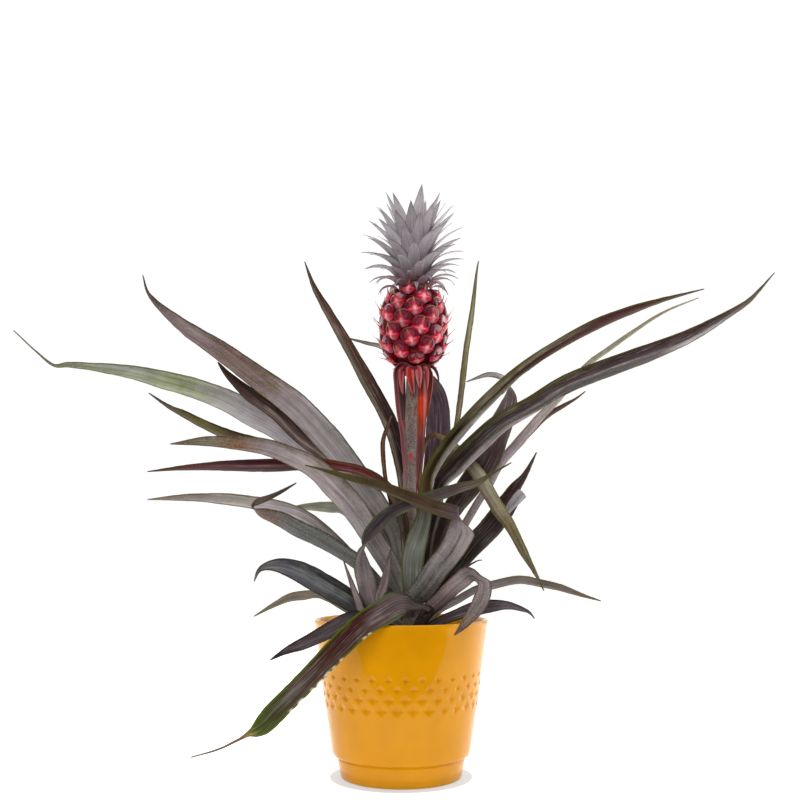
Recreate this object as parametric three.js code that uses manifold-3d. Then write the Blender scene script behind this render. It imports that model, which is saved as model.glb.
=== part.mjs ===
// A potted ornamental pineapple: a short stem in a glazed pot of soil, a rosette of long channelled
// leaves, and a stalk that carries one small red fruit with its own crown of leaves.
// Millimetres, +Z up, +X to the viewer's right, -Y towards the viewer. The origin is the centre of
// the pot's base.
import * as THREE from 'three';
import { mergeVertices } from 'three/addons/utils/BufferGeometryUtils.js';
import Module from 'manifold-3d';

// Driving dimensions
const CLEARANCE = 0.35; // left between neighbouring solids

const POT_HEIGHT = 121.7;
const RIM_RADIUS = 70;
const RIM_LIP = 2.6; // height of the rounded lip
const WALL = 4;
const FLOOR = 6;
const FOOT_HEIGHT = 15.3;
const FOOT_RADIUS = 48;
const FOOT_TOP_RADIUS = 51.1;
const SHOULDER_HEIGHT = 18.4;
const SHOULDER_RADIUS = 55;
const BELLY_HEIGHT = 64;
const BELLY_RADIUS = 62.2;
const POT_SEGMENTS = 60;

const FACETS_ROUND = 30; // diamonds in one row of the band
const FACET_DEPTH = 1.3;
const FACET_ROWS = [
  { height: 81, width: 6.2, tall: 6 },
  { height: 73.8, width: 7, tall: 7 },
  { height: 66.4, width: 8.4, tall: 8 },
  { height: 58.6, width: 9.6, tall: 9.2 },
];

const SOIL_TOP = 99;
const STEM_X = 8; // the stem stands a little to the right of the pot's axis
const STEM_BOTTOM = 80;
const STEM_TOP = 168;

const STALK_RADIUS = 5.4;
const STALK_TOP = 328;
const STALK_SCALES = 7;

const FRUIT_X = 10.4;
const FRUIT_BOTTOM = 329;
const FRUIT_TOP = 393.6;
const FRUIT_CORE_RADIUS = 24.6;
const EYES = 50;
const EYE_RADIUS = 7.5;
const EYE_HEIGHT = 4.2;
const SPINE_LENGTH = 8.5;

const CROWN_BOTTOM = 389; // its base sits down over the fruit's rounded top
const CROWN_TOP = 487;
const CROWN_CORE_RADIUS = 12.5;
const CROWN_LEAVES = 42;
const CROWN_LEAF_LENGTHS = [21, 62]; // lowest leaf, topmost leaf
const CROWN_LEAF_WIDTHS = [7.5, 11.5];
const CROWN_LEAF_RISES = [42, 86]; // degrees above level at the foot
const CROWN_LEAF_BENDS = [105, 8]; // degrees that it curls back over its length

const LEAF_THICKNESS = 1;
const LEAF_STEP = 24; // length of one facet along a leaf
const CHANNEL = 0.16; // depth of a leaf's channel for each millimetre of its width

const GOLDEN_ANGLE = Math.PI * (3 - Math.sqrt(5));

// Each leaf's route runs from its foot inside the stem to its tip, as [x, y, z, width across the
// front view]. `face` is 1 where the dark upper side faces the viewer there and -1 where the grey
// underside does; a negative width turns the leaf over. `lean` is how far the blade's width also
// runs in depth, as a share of the width seen. A fifth value sets that depth in millimetres.
const LEAVES = [
  {
    name: 'leaf_left_high',
    face: -1,
    lean: 0.6,
    route: [
      [8, 0, 128, 9], [1, -9, 152, 10], [-3, -12, 178, 11], [-7, -15, 193, 12.9],
      [-37, -30, 236, 19.1], [-58, -48, 262, 21.1], [-83, -70, 287, 19.8], [-103, -88, 301, 17.2],
      [-131, -112, 320, 13.8], [-158, -132, 337, 8.5], [-177, -144, 355, 2.1], [-180, -150, 367, 0.7],
    ],
  },
  {
    name: 'leaf_left_grey',
    face: -1,
    lean: 0.6,
    route: [
      [8, -2, 118, 12], [-1, -14, 145, 15], [-10, -23, 165, 16], [-23, -34, 186, 17],
      [-37, -46, 208, 19.4], [-52, -60, 225, 18.3], [-66, -70, 238, 15.9], [-82, -80, 246, 13.5],
      [-100, -92, 252, 11.8], [-121, -104, 254, 9.4], [-141, -116, 254, 6.4], [-162, -128, 251, 0.7],
    ],
  },
  {
    name: 'leaf_right_broad',
    face: 1,
    lean: -0.7,
    route: [
      [8, 0, 134, 8], [16, -14, 155, 10], [21, -19, 185, 11], [27, -21, 208, 11], [31, -22, 229, 12],
      [43, -20, 243, 16.1], [63, -16, 263, 16.2], [81, -10, 279, 15.6], [110, 0, 296, 15],
      [141, 12, 315, 16.9], [178, 26, 331, 17.3], [217, 42, 347, 17.6], [259, 58, 366, 13.5],
      [297, 74, 388, 10.1], [322, 84, 404, 7.4], [334, 90, 415, 4.7], [354, 98, 436, 0.9],
    ],
  },
  {
    name: 'leaf_right_arching',
    face: 1,
    lean: -0.6,
    route: [
      [8, -4, 120, 12], [8, -24, 150, 14, 4], [9, -31, 169, 18, 2], [13, -35, 185, 16],
      [18, -38, 202, 12], [21, -42, 231, 10], [28, -46, 246, 10], [38, -52, 260, 10.1],
      [53, -62, 277, 10], [68, -70, 292, 9.9], [88, -80, 310, 8.3], [113, -92, 326, 8.2],
      [143, -106, 341, 8.8], [169, -118, 350, 6.5], [188, -126, 355, 3.6], [214, -138, 360, 0.7],
    ],
  },
  {
    name: 'leaf_front_folded',
    face: -1,
    lean: -0.25,
    route: [
      [8, -3, 114, 14], [10, -22, 138, 19], [20, -32, 154, 20], [31, -42, 168, 21], [40, -50, 181, 20],
      [47, -57, 192, 12, -13], [46, -62, 200, -4, -14], [38, -66, 205, -10, -5], [29, -68, 209, -10, 2],
      [12, -71, 216, -8, 3], [-4, -73, 221, -8, 3], [-15, -74, 225, -7, 3], [-39, -75, 231, -4.5],
      [-60, -76, 237, -2], [-72, -77, 240, -0.8],
    ],
  },
  {
    name: 'leaf_left_far',
    face: -1,
    lean: 0.6,
    route: [
      [8, 1, 136, 9], [-3, 3, 158, 12], [-21, -2, 193, 14.7], [-46, -6, 225, 16.3],
      [-74, -12, 253, 17.9], [-99, -18, 273, 18.7], [-122, -24, 285, 18.6], [-138, -28, 294, 17.7],
      [-168, -36, 305, 15.2], [-189, -42, 310, 13.5], [-211, -48, 315, 10.2], [-238, -56, 318, 6.2],
      [-259, -62, 319, 3.9], [-268, -64, 318, 2.3], [-281, -68, 328, 1.2], [-298, -72, 344, 0.8],
    ],
  },
  {
    name: 'leaf_front_hanging',
    face: 1,
    lean: 0.35,
    route: [
      [8, -6, 108, 12], [9, -24, 124, 13], [5, -38, 137, 15], [-11, -54, 140, 17, 7], [-29, -74, 128, 19, 8],
      [-49, -90, 105, 20, 8], [-65, -98, 87, 18], [-79, -102, 74, 17], [-87, -105, 65, 16],
      [-97, -107, 56, 14], [-105, -109, 52, 7], [-110, -110, 49, 2.6], [-124, -112, 42, 1.4],
      [-144, -115, 37, 0.8],
    ],
  },
  {
    name: 'leaf_left_maroon',
    face: 1,
    lean: 0.7,
    route: [
      [8, -1, 146, 6], [4, -11, 176, 8], [1, -18, 201, 8], [-7, -28, 221, 8], [-18, -37, 231, 8],
      [-32, -43, 238, 7.8], [-48, -50, 241, 7.8], [-62, -56, 242, 9.2], [-102, -68, 240, 10.6],
      [-137, -78, 239, 7.5], [-164, -86, 237, 3.7], [-186, -94, 234, 0.7],
    ],
  },
  {
    name: 'leaf_left_dark',
    face: 1,
    lean: 0.7,
    route: [
      [8, 0, 140, 6], [-6, -3, 169, 8], [-32, -11, 217, 11.4], [-49, -20, 240, 11.3],
      [-63, -30, 253, 11.2], [-79, -40, 264, 11], [-98, -54, 282, 10.9], [-118, -66, 296, 10],
      [-133, -76, 310, 4.6], [-139, -80, 318, 0.8],
    ],
  },
  {
    name: 'leaf_left_green',
    face: 1,
    lean: 0.7,
    route: [
      [8, 2, 132, 6], [-13, 12, 176, 8.3], [-52, 24, 227, 9.3], [-96, 40, 258, 10.4],
      [-153, 62, 277, 9.8], [-178, 72, 288, 8.1], [-199, 80, 299, 6.4], [-213, 86, 306, 3.7],
      [-234, 94, 320, 0.9],
    ],
  },
  {
    name: 'leaf_twisted',
    face: -1,
    lean: 0.4,
    route: [
      [8, -4, 110, 9], [-22, -24, 134, 14], [-27, -36, 154, 15], [-30, -44, 172, 6, -4],
      [-28, -49, 182, -8, -5], [-20, -53, 194, -10, -4], [-8, -56, 205, -10, -4], [8, -58, 212, -9, -4],
      [30, -60, 219, -9, -4], [45, -61, 224, -8, -3], [59, -62, 228, -5, -2], [68, -63, 234, -2.3],
      [84, -64, 243, -0.8],
    ],
  },
  {
    name: 'leaf_right_wide',
    face: 1,
    lean: -0.45,
    route: [
      [8, 0, 142, 7], [19, -4, 166, 9], [28, -2, 182, 11], [36, 2, 198, 13.1], [45, 7, 213, 16.6],
      [58, 13, 230, 20.1], [73, 20, 252, 22], [82, 30, 274, 21.5], [91, 40, 293, 17.4],
      [96, 49, 309, 11.5, -10], [95, 58, 323, -3.6, -10], [92, 63, 329, -6.3, -3],
      [80, 68, 333, -4.5, 2], [59, 72, 327, -0.9],
    ],
  },
  {
    name: 'leaf_spear',
    face: 1,
    lean: -0.4,
    route: [
      [8, 2, 116, 6], [32, 4, 144, 7], [45, 10, 159, 8.2], [62, 22, 181, 16.8], [78, 36, 197, 18.8],
      [93, 48, 217, 17.4], [100, 56, 230, 9.7], [109, 62, 241, 5.3], [122, 74, 263, 0.9],
    ],
  },
  {
    name: 'leaf_drooping',
    face: -1,
    lean: -0.4,
    route: [
      [8, 3, 150, 5], [11, 12, 185, 6], [14, 14, 226, 6], [17, 13, 256, 5], [22, 10, 269, 4.2],
      [29, 5, 271, 4.2], [38, 0, 266, 5], [48, -4, 257, 6.6], [56, -10, 246, 9.8],
      [62, -18, 237, 11.3], [69, -32, 222, 10.3], [77, -48, 205, 10.1], [82, -56, 197, 8.4],
      [91, -72, 176, 6], [99, -86, 158, 2.2], [103, -92, 148, 0.7],
    ],
  },
  {
    name: 'leaf_upright_thin',
    face: 1,
    lean: -0.5,
    route: [
      [9, 2, 146, 5], [15, 6, 172, 6], [24, 12, 201, 5.8], [39, 22, 243, 5.9], [48, 36, 283, 5.2],
      [52, 46, 306, 6.2], [59, 66, 355, 6.8], [66, 84, 395, 5.6], [72, 100, 438, 1.9],
      [74, 104, 449, 1],
    ],
  },
  {
    name: 'leaf_right_curled',
    face: -1,
    lean: -0.5,
    route: [
      [8, -5, 106, 8], [25, -28, 131, 11], [36, -36, 145, 12], [45, -42, 155, 12], [53, -48, 160, 11],
      [59, -54, 159, 10, -8], [62, -59, 152, 9, -6], [60, -64, 143, 10, -3], [54, -68, 134, 10, -3],
      [47, -74, 125, 6.6], [39, -78, 116, 0.8],
    ],
  },
  {
    name: 'leaf_left_creased',
    face: -1,
    lean: 0.55,
    route: [
      [8, -2, 122, 8], [-21, -18, 153, 9.5], [-35, -26, 167, 11.8], [-48, -34, 176, 12.5],
      [-63, -43, 185, 13.2], [-78, -52, 192, 13], [-92, -61, 200, 11.4], [-105, -69, 205, 7.5, 6],
      [-111, -75, 209, -2.2, 8], [-106, -80, 213, -5.2, 4], [-97, -84, 216, -3.7, 2],
      [-86, -88, 221, -2.2], [-77, -91, 226, -0.7],
    ],
  },
  {
    name: 'leaf_left_level',
    face: 1,
    lean: 0.8,
    route: [
      [8, 1, 118, 6], [-17, 1, 145, 8], [-42, 3, 172, 8.2], [-63, 6, 191, 9.9], [-81, 10, 204, 10],
      [-101, 14, 211, 10.8], [-123, 18, 215, 10.9], [-144, 22, 218, 10.1], [-170, 26, 220, 7.6],
      [-195, 30, 220, 4.3], [-217, 34, 219, 0.9],
    ],
  },
  {
    name: 'leaf_back_left',
    face: 1,
    lean: 0.6,
    route: [
      [8, 4, 126, 7], [-9, 22, 168, 8.4], [-31, 34, 193, 10.2], [-49, 46, 211, 10.4],
      [-62, 56, 213, 9.6], [-76, 66, 214, 8], [-91, 76, 214, 4.5], [-100, 82, 214, 0.9],
    ],
  },
  {
    name: 'leaf_left_low',
    face: 1,
    lean: 0.35,
    route: [
      [8, -2, 108, 9], [-13, -9, 118, 10], [-29, -20, 128, 11.8], [-41, -29, 138, 15.7],
      [-55, -38, 147, 17], [-68, -47, 155, 16.9], [-79, -55, 161, 15.2], [-91, -62, 165, 11.3],
      [-100, -67, 165, 6.7], [-106, -71, 162, 3], [-109, -74, 154, 0.7],
    ],
  },
  {
    name: 'leaf_left_low_small',
    face: 1,
    lean: 0.8,
    route: [
      [8, 2, 106, 5], [-17, 2, 118, 5], [-42, 6, 127, 4.9], [-58, 10, 136, 4.9], [-69, 14, 140, 5.8],
      [-80, 18, 139, 7.5], [-93, 22, 137, 6.7], [-108, 28, 130, 3.8], [-124, 34, 121, 0.8],
    ],
  },
  {
    name: 'leaf_left_rim',
    face: 1,
    lean: 0.4,
    route: [
      [8, -3, 107, 8], [-17, -22, 121, 10], [-34, -36, 128, 12], [-46, -46, 130, 14], [-58, -54, 126, 13.5],
      [-69, -61, 117, 10.5], [-82, -66, 107, 5.5], [-95, -70, 98, 0.8],
    ],
  },
  {
    name: 'leaf_right_low_long',
    face: 1,
    lean: -0.9,
    route: [
      [8, -2, 105, 5], [29, -10, 128, 5.6], [44, -8, 136, 5.6], [59, -4, 144, 5.7], [74, 0, 148, 6.5],
      [97, 8, 152, 6.6], [115, 14, 149, 6.6], [133, 20, 145, 5.8], [151, 26, 139, 3.3],
      [168, 32, 134, 0.8],
    ],
  },
  {
    name: 'leaf_right_low_dark',
    face: 1,
    lean: -0.5,
    route: [
      [8, -3, 107, 6], [31, -20, 121, 7.1], [42, -26, 126, 7.8], [56, -34, 131, 10.9],
      [69, -42, 134, 9.2], [81, -49, 135, 6.1], [90, -54, 133, 3.8], [97, -58, 130, 1.9],
      [100, -60, 126, 0.8],
    ],
  },
  {
    name: 'leaf_back_dark',
    face: 1,
    lean: 0.3,
    route: [
      [8, 3, 138, 8], [6, 18, 185, 10], [5, 26, 218, 11.9], [-1, 38, 258, 13.8], [-11, 50, 289, 13.2],
      [-28, 64, 325, 13], [-46, 80, 361, 11], [-67, 96, 399, 9.4], [-82, 104, 421, 5.7],
      [-93, 114, 451, 1],
    ],
  },
  {
    name: 'leaf_back_purple',
    face: 1,
    lean: -0.25,
    route: [
      [9, 4, 130, 9], [17, 16, 156, 11], [24, 28, 202, 13.6], [32, 40, 245, 17.3], [35, 52, 281, 19.4],
      [31, 64, 314, 18], [17, 74, 336, 12.7, -3], [-1, 82, 354, 8.3, 1], [-20, 88, 363, 4.6, 3],
      [-33, 92, 367, 3.3], [-52, 97, 373, 0.9],
    ],
  },
  {
    name: 'leaf_right_thin',
    face: -1,
    lean: -0.6,
    route: [
      [9, 3, 122, 5], [41, 18, 176, 6.7], [56, 26, 201, 6.8], [66, 32, 217, 6.8], [77, 40, 233, 6],
      [87, 50, 251, 7.9], [105, 62, 271, 8.9], [127, 76, 296, 7.3], [135, 80, 304, 7.3],
      [157, 92, 327, 5.6], [174, 100, 347, 4.7], [198, 110, 365, 4.7], [220, 118, 381, 3.8],
      [256, 132, 405, 2.4], [295, 145, 423, 1],
    ],
  },
  {
    name: 'leaf_right_narrow',
    face: 1,
    lean: -0.6,
    route: [
      [9, 4, 112, 5], [28, 24, 152, 5], [50, 38, 189, 4.3], [69, 52, 219, 4.4], [83, 64, 242, 4],
      [99, 74, 262, 4.1], [120, 86, 284, 4.6], [135, 94, 299, 5.5], [150, 100, 308, 4.2],
      [165, 106, 317, 1.9], [174, 110, 324, 0.9],
    ],
  },
  {
    name: 'leaf_stalk_side',
    face: 1,
    lean: 0.5,
    route: [
      [7, 1, 154, 4], [-1, 4, 178, 4], [-3, 2, 195, 3.5], [-9, 0, 217, 3.3], [-13, -2, 235, 3.3],
      [-15, -3, 254, 3.7], [-15, -3, 266, 3.7], [-12, -2, 276, 3], [-8, 0, 287, 0.8],
    ],
  },
  {
    name: 'leaf_shoot_near',
    face: -1,
    lean: 0.2,
    route: [
      [7, -4, 109, 7], [-12, -21, 122, 8], [-17, -32, 140, 8.2], [-14, -36, 148, 7.8], [-10, -38, 166, 5],
      [-8, -38, 178, 0.8],
    ],
  },
  {
    name: 'leaf_shoot_left',
    face: -1,
    lean: 0.3,
    route: [
      [7, -4, 112, 6], [-24, -19, 118, 6.5], [-31, -28, 129, 6.3], [-34, -32, 138, 5.8], [-38, -34, 149, 4],
      [-42, -34, 160, 2.3], [-45, -33, 168, 0.8],
    ],
  },
];

// The stalk's straps, from the collar under the fruit: [x, y, z, width], relative to the stalk's axis
const STRAPS = [
  [[-3, -6, 325, 8], [-10, -7, 329, 8], [-15, -7, 324, 7], [-15, -8, 312, 6], [-13, -8, 290, 6],
    [-10, -8, 274, 5], [-8, -8, 263, 0.8]],
  [[4, -6, 325, 8], [10, -8, 327, 8], [14, -9, 321, 7], [14, -9, 308, 6], [12, -9, 294, 4],
    [11, -8, 284, 0.8]],
  [[3, -7, 322, 7], [6, -9, 318, 9], [8, -10, 306, 10], [8, -10, 292, 9], [7, -9, 268, 7], [5, -9, 246, 6],
    [4, -8, 230, 0.8]],
  [[-2, -7, 325, 7], [-3, -12, 325, 8], [-3, -13, 318, 7], [-1, -11, 307, 4], [0, -10, 302, 0.8]],
  [[6, 3, 325, 8], [12, 6, 327, 8], [15, 8, 320, 7], [14, 8, 306, 5], [13, 7, 294, 0.8]],
  [[-6, 3, 325, 8], [-12, 6, 328, 8], [-15, 8, 320, 7], [-14, 8, 304, 6], [-12, 7, 284, 5],
    [-11, 6, 272, 0.8]],
  [[0, 7, 325, 8], [0, 12, 328, 8], [0, 15, 320, 7], [0, 14, 304, 5], [0, 12, 292, 0.8]],
];

const wasm = await Module();
wasm.setup();

// A closed geometry as a solid, its shared vertices merged.
function solidOf(geometry) {
  const bare = geometry.index ? geometry.toNonIndexed() : geometry.clone();
  bare.deleteAttribute('normal');
  bare.deleteAttribute('uv');
  const merged = mergeVertices(bare, 1e-4);
  return new wasm.Manifold(
    new wasm.Mesh({
      numProp: 3,
      vertProperties: merged.attributes.position.array,
      triVerts: new Uint32Array(merged.index.array),
    }),
  );
}

function geometryOf(solid) {
  const mesh = solid.getMesh();
  const positions = new Float32Array(mesh.numVert * 3);
  for (let i = 0; i < mesh.numVert; i++) {
    const start = i * mesh.numProp;
    positions.set(mesh.vertProperties.subarray(start, start + 3), i * 3);
  }
  const geometry = new THREE.BufferGeometry();
  geometry.setAttribute('position', new THREE.BufferAttribute(positions, 3));
  geometry.setIndex(new THREE.BufferAttribute(mesh.triVerts, 1));
  geometry.computeVertexNormals();
  return geometry;
}

function joined(solids) {
  return solids.reduce((whole, piece) => whole.add(piece));
}

function largestBody(solid) {
  return solid.decompose().reduce((best, body) => (body.volume() > best.volume() ? body : best));
}

// A blade: a thin channelled strip swept along its route. `spare` thickens it on every side. A slim
// blade has one flat face and a keel.
function blade({ route, face = 1, lean = 0, slim = false }, spare = 0, thickness = LEAF_THICKNESS) {
  const path = new THREE.CatmullRomCurve3(
    route.map(([x, y, z]) => new THREE.Vector3(x, y, z)),
    false,
    'centripetal',
  );
  const spans = route.length - 1;
  const rows = slim ? spans : Math.max(8, Math.round(path.getLength() / LEAF_STEP));
  const sections = [];
  for (let row = 0; row <= rows; row++) {
    const at = (row / rows) * spans;
    const from = Math.min(Math.floor(at), spans - 1);
    const blend = at - from;
    const [here, next] = [route[from], route[from + 1]];
    const width = THREE.MathUtils.lerp(here[3], next[3], blend);
    const depths = [here, next].map((point) => point[4] ?? lean * Math.abs(point[3]));
    const depth = THREE.MathUtils.lerp(depths[0], depths[1], blend);
    const centre = path.getPoint(at / spans);
    const along = path.getTangent(at / spans);
    const upright = new THREE.Vector3(along.z, 0, -along.x).normalize();
    const across = upright.multiplyScalar(face * width).add(new THREE.Vector3(0, depth, 0));
    across.addScaledVector(along, -across.dot(along));
    const breadth = Math.max(across.length(), 0.8);
    across.normalize();
    const normal = new THREE.Vector3().crossVectors(across, along);
    const half = breadth / 2 + spare;
    const rise = thickness / 2 + spare;
    const dip = breadth * CHANNEL;
    const end = row === 0 ? -spare : row === rows ? spare : 0;
    const place = (side, up) =>
      centre
        .clone()
        .addScaledVector(across, side)
        .addScaledVector(normal, up)
        .addScaledVector(along, end);
    const keeled = [place(-half, rise), place(half, rise), place(0, -rise - dip)];
    const channelled = [
      place(-half, dip / 2 + rise), place(0, rise - dip / 2), place(half, dip / 2 + rise),
      place(half, dip / 2 - rise), place(0, -rise - dip / 2), place(-half, dip / 2 - rise),
    ];
    sections.push(slim ? keeled : channelled);
  }
  return skin(sections);
}

// Joins rings of six or three points into one closed body. A blade's two faces are split alike.
function skin(sections) {
  const ring = sections[0].length;
  const positions = sections.flat().flatMap((point) => point.toArray());
  const index = [];
  for (let row = 0; row < sections.length - 1; row++) {
    for (let left = 0; left < ring; left++) {
      const [a, b] = [row * ring + left, row * ring + ((left + 1) % ring)];
      const [c, d] = [a + ring, b + ring];
      const under = ring === 6 && (left === 3 || left === 4);
      if (under) index.push(a, b, c, b, d, c);
      else index.push(a, b, d, a, d, c);
    }
  }
  const last = (sections.length - 1) * ring;
  const caps = ring === 3 ? [[0, 2, 1]] : [[0, 5, 4], [0, 4, 1], [1, 4, 3], [1, 3, 2]];
  for (const [a, b, c] of caps) {
    index.push(a, b, c);
    index.push(last + a, last + c, last + b);
  }
  const geometry = new THREE.BufferGeometry();
  geometry.setAttribute('position', new THREE.Float32BufferAttribute(positions, 3));
  geometry.setIndex(index);
  const solid = solidOf(geometry);
  if (solid.volume() > 0) return solid;
  geometry.setIndex(index.reverse());
  return solidOf(geometry);
}

function lathe(profile, segments) {
  const points = profile.map(([radius, height]) => new THREE.Vector2(radius, height));
  return new THREE.LatheGeometry(points, segments).rotateX(Math.PI / 2);
}

// The outer wall's radius at a height above the shoulder
function wallRadius(height) {
  const [low, high] =
    height < BELLY_HEIGHT
      ? [[SHOULDER_HEIGHT, SHOULDER_RADIUS], [BELLY_HEIGHT, BELLY_RADIUS]]
      : [[BELLY_HEIGHT, BELLY_RADIUS], [POT_HEIGHT, RIM_RADIUS]];
  return THREE.MathUtils.mapLinear(height, low[0], high[0], low[1], high[1]);
}

// The pot: a thrown wall with a stepped foot, a rounded lip and four rows of pressed diamonds
function makePot() {
  const lip = WALL / 2;
  const profile = [
    [0, 0], [FOOT_RADIUS, 0], [FOOT_TOP_RADIUS, FOOT_HEIGHT],
    [SHOULDER_RADIUS, SHOULDER_HEIGHT], [BELLY_RADIUS, BELLY_HEIGHT],
    [RIM_RADIUS, POT_HEIGHT - RIM_LIP / 2], [RIM_RADIUS - lip, POT_HEIGHT],
    [RIM_RADIUS - WALL, POT_HEIGHT - RIM_LIP], [BELLY_RADIUS - WALL, BELLY_HEIGHT],
    [SHOULDER_RADIUS - WALL - 6, FLOOR], [0, FLOOR],
  ];
  const body = solidOf(lathe(profile, POT_SEGMENTS));
  const dents = [];
  FACET_ROWS.forEach(({ height, width, tall }, row) => {
    const radius = wallRadius(height);
    const taper = Math.atan2(RIM_RADIUS - SHOULDER_RADIUS, POT_HEIGHT - SHOULDER_HEIGHT);
    for (let i = 0; i < FACETS_ROUND; i++) {
      const dent = new THREE.OctahedronGeometry(1)
        .scale(FACET_DEPTH, width / 2, tall / 2)
        .rotateY(taper)
        .translate(radius, 0, height)
        .rotateZ(((i + (row % 2) / 2 + 0.25) * 2 * Math.PI) / FACETS_ROUND - Math.PI / 2);
      dents.push(solidOf(dent));
    }
  });
  return body.subtract(joined(dents));
}

// The stem's profile; `spare` widens it for the hole that it stands in
function makeStem(spare = 0) {
  const profile = [
    [0, STEM_BOTTOM - spare], [13 + spare, STEM_BOTTOM - spare], [14 + spare, 100], [13 + spare, 125],
    [10 + spare, 148], [6.5 + spare, STEM_TOP - 2], [5 + spare, STEM_TOP + spare], [0, STEM_TOP + spare],
  ];
  return solidOf(lathe(profile, 16).translate(STEM_X, 0, 0));
}

// Potting soil, filling the pot to just under its rim, with a rough top
function makeSoil() {
  const clear = WALL + CLEARANCE;
  const top = wallRadius(SOIL_TOP) - clear;
  const profile = [
    [0, FLOOR + CLEARANCE], [SHOULDER_RADIUS - clear - 6, FLOOR + CLEARANCE],
    [BELLY_RADIUS - clear, BELLY_HEIGHT],
    [top, SOIL_TOP], [top * 0.85, SOIL_TOP + 1], [top * 0.68, SOIL_TOP], [top * 0.5, SOIL_TOP + 1],
    [top * 0.33, SOIL_TOP + 1.5], [0, SOIL_TOP + 1],
  ];
  const geometry = lathe(profile, 30);
  const position = geometry.attributes.position;
  for (let i = 0; i < position.count; i++) {
    const [x, y, z] = [position.getX(i), position.getY(i), position.getZ(i)];
    const lump = 0.9 * Math.sin(0.31 * x + 1.3) * Math.cos(0.37 * y) + 0.5 * Math.sin(0.83 * x - 0.71 * y);
    if (z > SOIL_TOP - 0.5 && Math.hypot(x, y) < top - 1) position.setZ(i, z + lump);
  }
  return solidOf(geometry).subtract(makeStem(CLEARANCE));
}

// The fruit's stalk, with small pointed scales pressed to it
function makeStalk(spare = 0) {
  const path = new THREE.CatmullRomCurve3([
    new THREE.Vector3(STEM_X, 0, STEM_TOP + CLEARANCE - spare),
    new THREE.Vector3(STEM_X - 1, 0, 230),
    new THREE.Vector3(STEM_X + 0.5, 0, 290),
    new THREE.Vector3(FRUIT_X, 0, STALK_TOP + spare),
  ]);
  const section = new THREE.Shape();
  section.absarc(0, 0, STALK_RADIUS + spare, 0, 2 * Math.PI);
  const tube = new THREE.ExtrudeGeometry(section, { steps: 9, curveSegments: 8, extrudePath: path });
  const parts = [solidOf(tube)];
  for (let i = 0; i < STALK_SCALES; i++) {
    const at = path.getPoint(0.35 + i * 0.075);
    const scale = new THREE.ConeGeometry(2.6 + spare, 9, 5)
      .scale(1, 1, 0.6)
      .rotateX(Math.PI / 2 - 0.16)
      .translate(0, -STALK_RADIUS + 0.4 - spare, 2)
      .rotateZ(i * GOLDEN_ANGLE)
      .translate(at.x, at.y, at.z);
    parts.push(solidOf(scale));
  }
  return joined(parts);
}

// The collar of straps that hangs from under the fruit
function makeCollar() {
  const ring = [[5.2, 320.5], [9.5, 322], [10, 326.5], [5.2, 327.6], [5.2, 320.5]];
  const parts = [solidOf(lathe(ring, 14).translate(FRUIT_X, 0, 0))];
  for (const strap of STRAPS) {
    const route = strap.map(([x, y, z, width]) => [x + FRUIT_X, y, z, width]);
    parts.push(blade({ route: route.map(outwardStrap), slim: true }));
  }
  return largestBody(joined(parts).subtract(makeStalk(CLEARANCE)));
}

// Turns a strap's blade to face away from the stalk
function outwardStrap([x, y, z, width]) {
  const away = Math.atan2(y, x - FRUIT_X);
  return [x, y, z, Math.max(0.8, Math.abs(Math.sin(away)) * width), Math.cos(away) * width];
}

// Half-width of the fruit's core at a height from 0, its base, to 1, its top
function fruitRadius(height) {
  const from = 2 * height - 1;
  return FRUIT_CORE_RADIUS * (1 - Math.abs(from) ** 3) ** (1 / 2.6) * (1 + 0.02 * from);
}

// The fruit: a core covered by eyes in spirals, each a low dome with a spined scale across it
function makeFruit(spare = 0) {
  const height = FRUIT_TOP - FRUIT_BOTTOM;
  const profile = [];
  const rings = 8;
  for (let i = 0; i <= rings; i++) {
    const radius = i % rings === 0 ? 0 : fruitRadius(i / rings) + spare;
    profile.push([radius, FRUIT_BOTTOM + (height * i) / rings]);
  }
  const parts = [solidOf(lathe(profile, 12))];
  for (let i = 0; i < EYES; i++) {
    const at = 0.045 + (0.91 * (i + 0.5)) / EYES;
    const radius = fruitRadius(at);
    const slope = Math.atan2(fruitRadius(at - 0.03) - fruitRadius(at + 0.03), 0.06 * height);
    const size = EYE_RADIUS * (0.8 + 0.2 * Math.sin(Math.PI * at)) + spare;
    const high = EYE_HEIGHT * (0.75 + 0.25 * Math.sin(Math.PI * at)) + spare;
    const place = (geometry) =>
      solidOf(
        geometry
          .rotateY(-slope)
          .translate(radius, 0, FRUIT_BOTTOM + height * at)
          .rotateZ(i * GOLDEN_ANGLE),
      );
    const dome = lathe([[0, -3], [size, -1], [size * 0.68, high * 0.8], [0, high]], 5);
    parts.push(place(dome.rotateY(Math.PI / 2)));
    const spine = new THREE.ConeGeometry(1.7 + spare, SPINE_LENGTH + spare, 3)
      .translate(0, SPINE_LENGTH / 2, 0)
      .rotateX(Math.PI / 2)
      .rotateY(0.75)
      .translate(high * 0.55, 0, -2.4);
    parts.push(place(spine));
  }
  return joined(parts).translate([FRUIT_X, 0, 0]);
}

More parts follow.
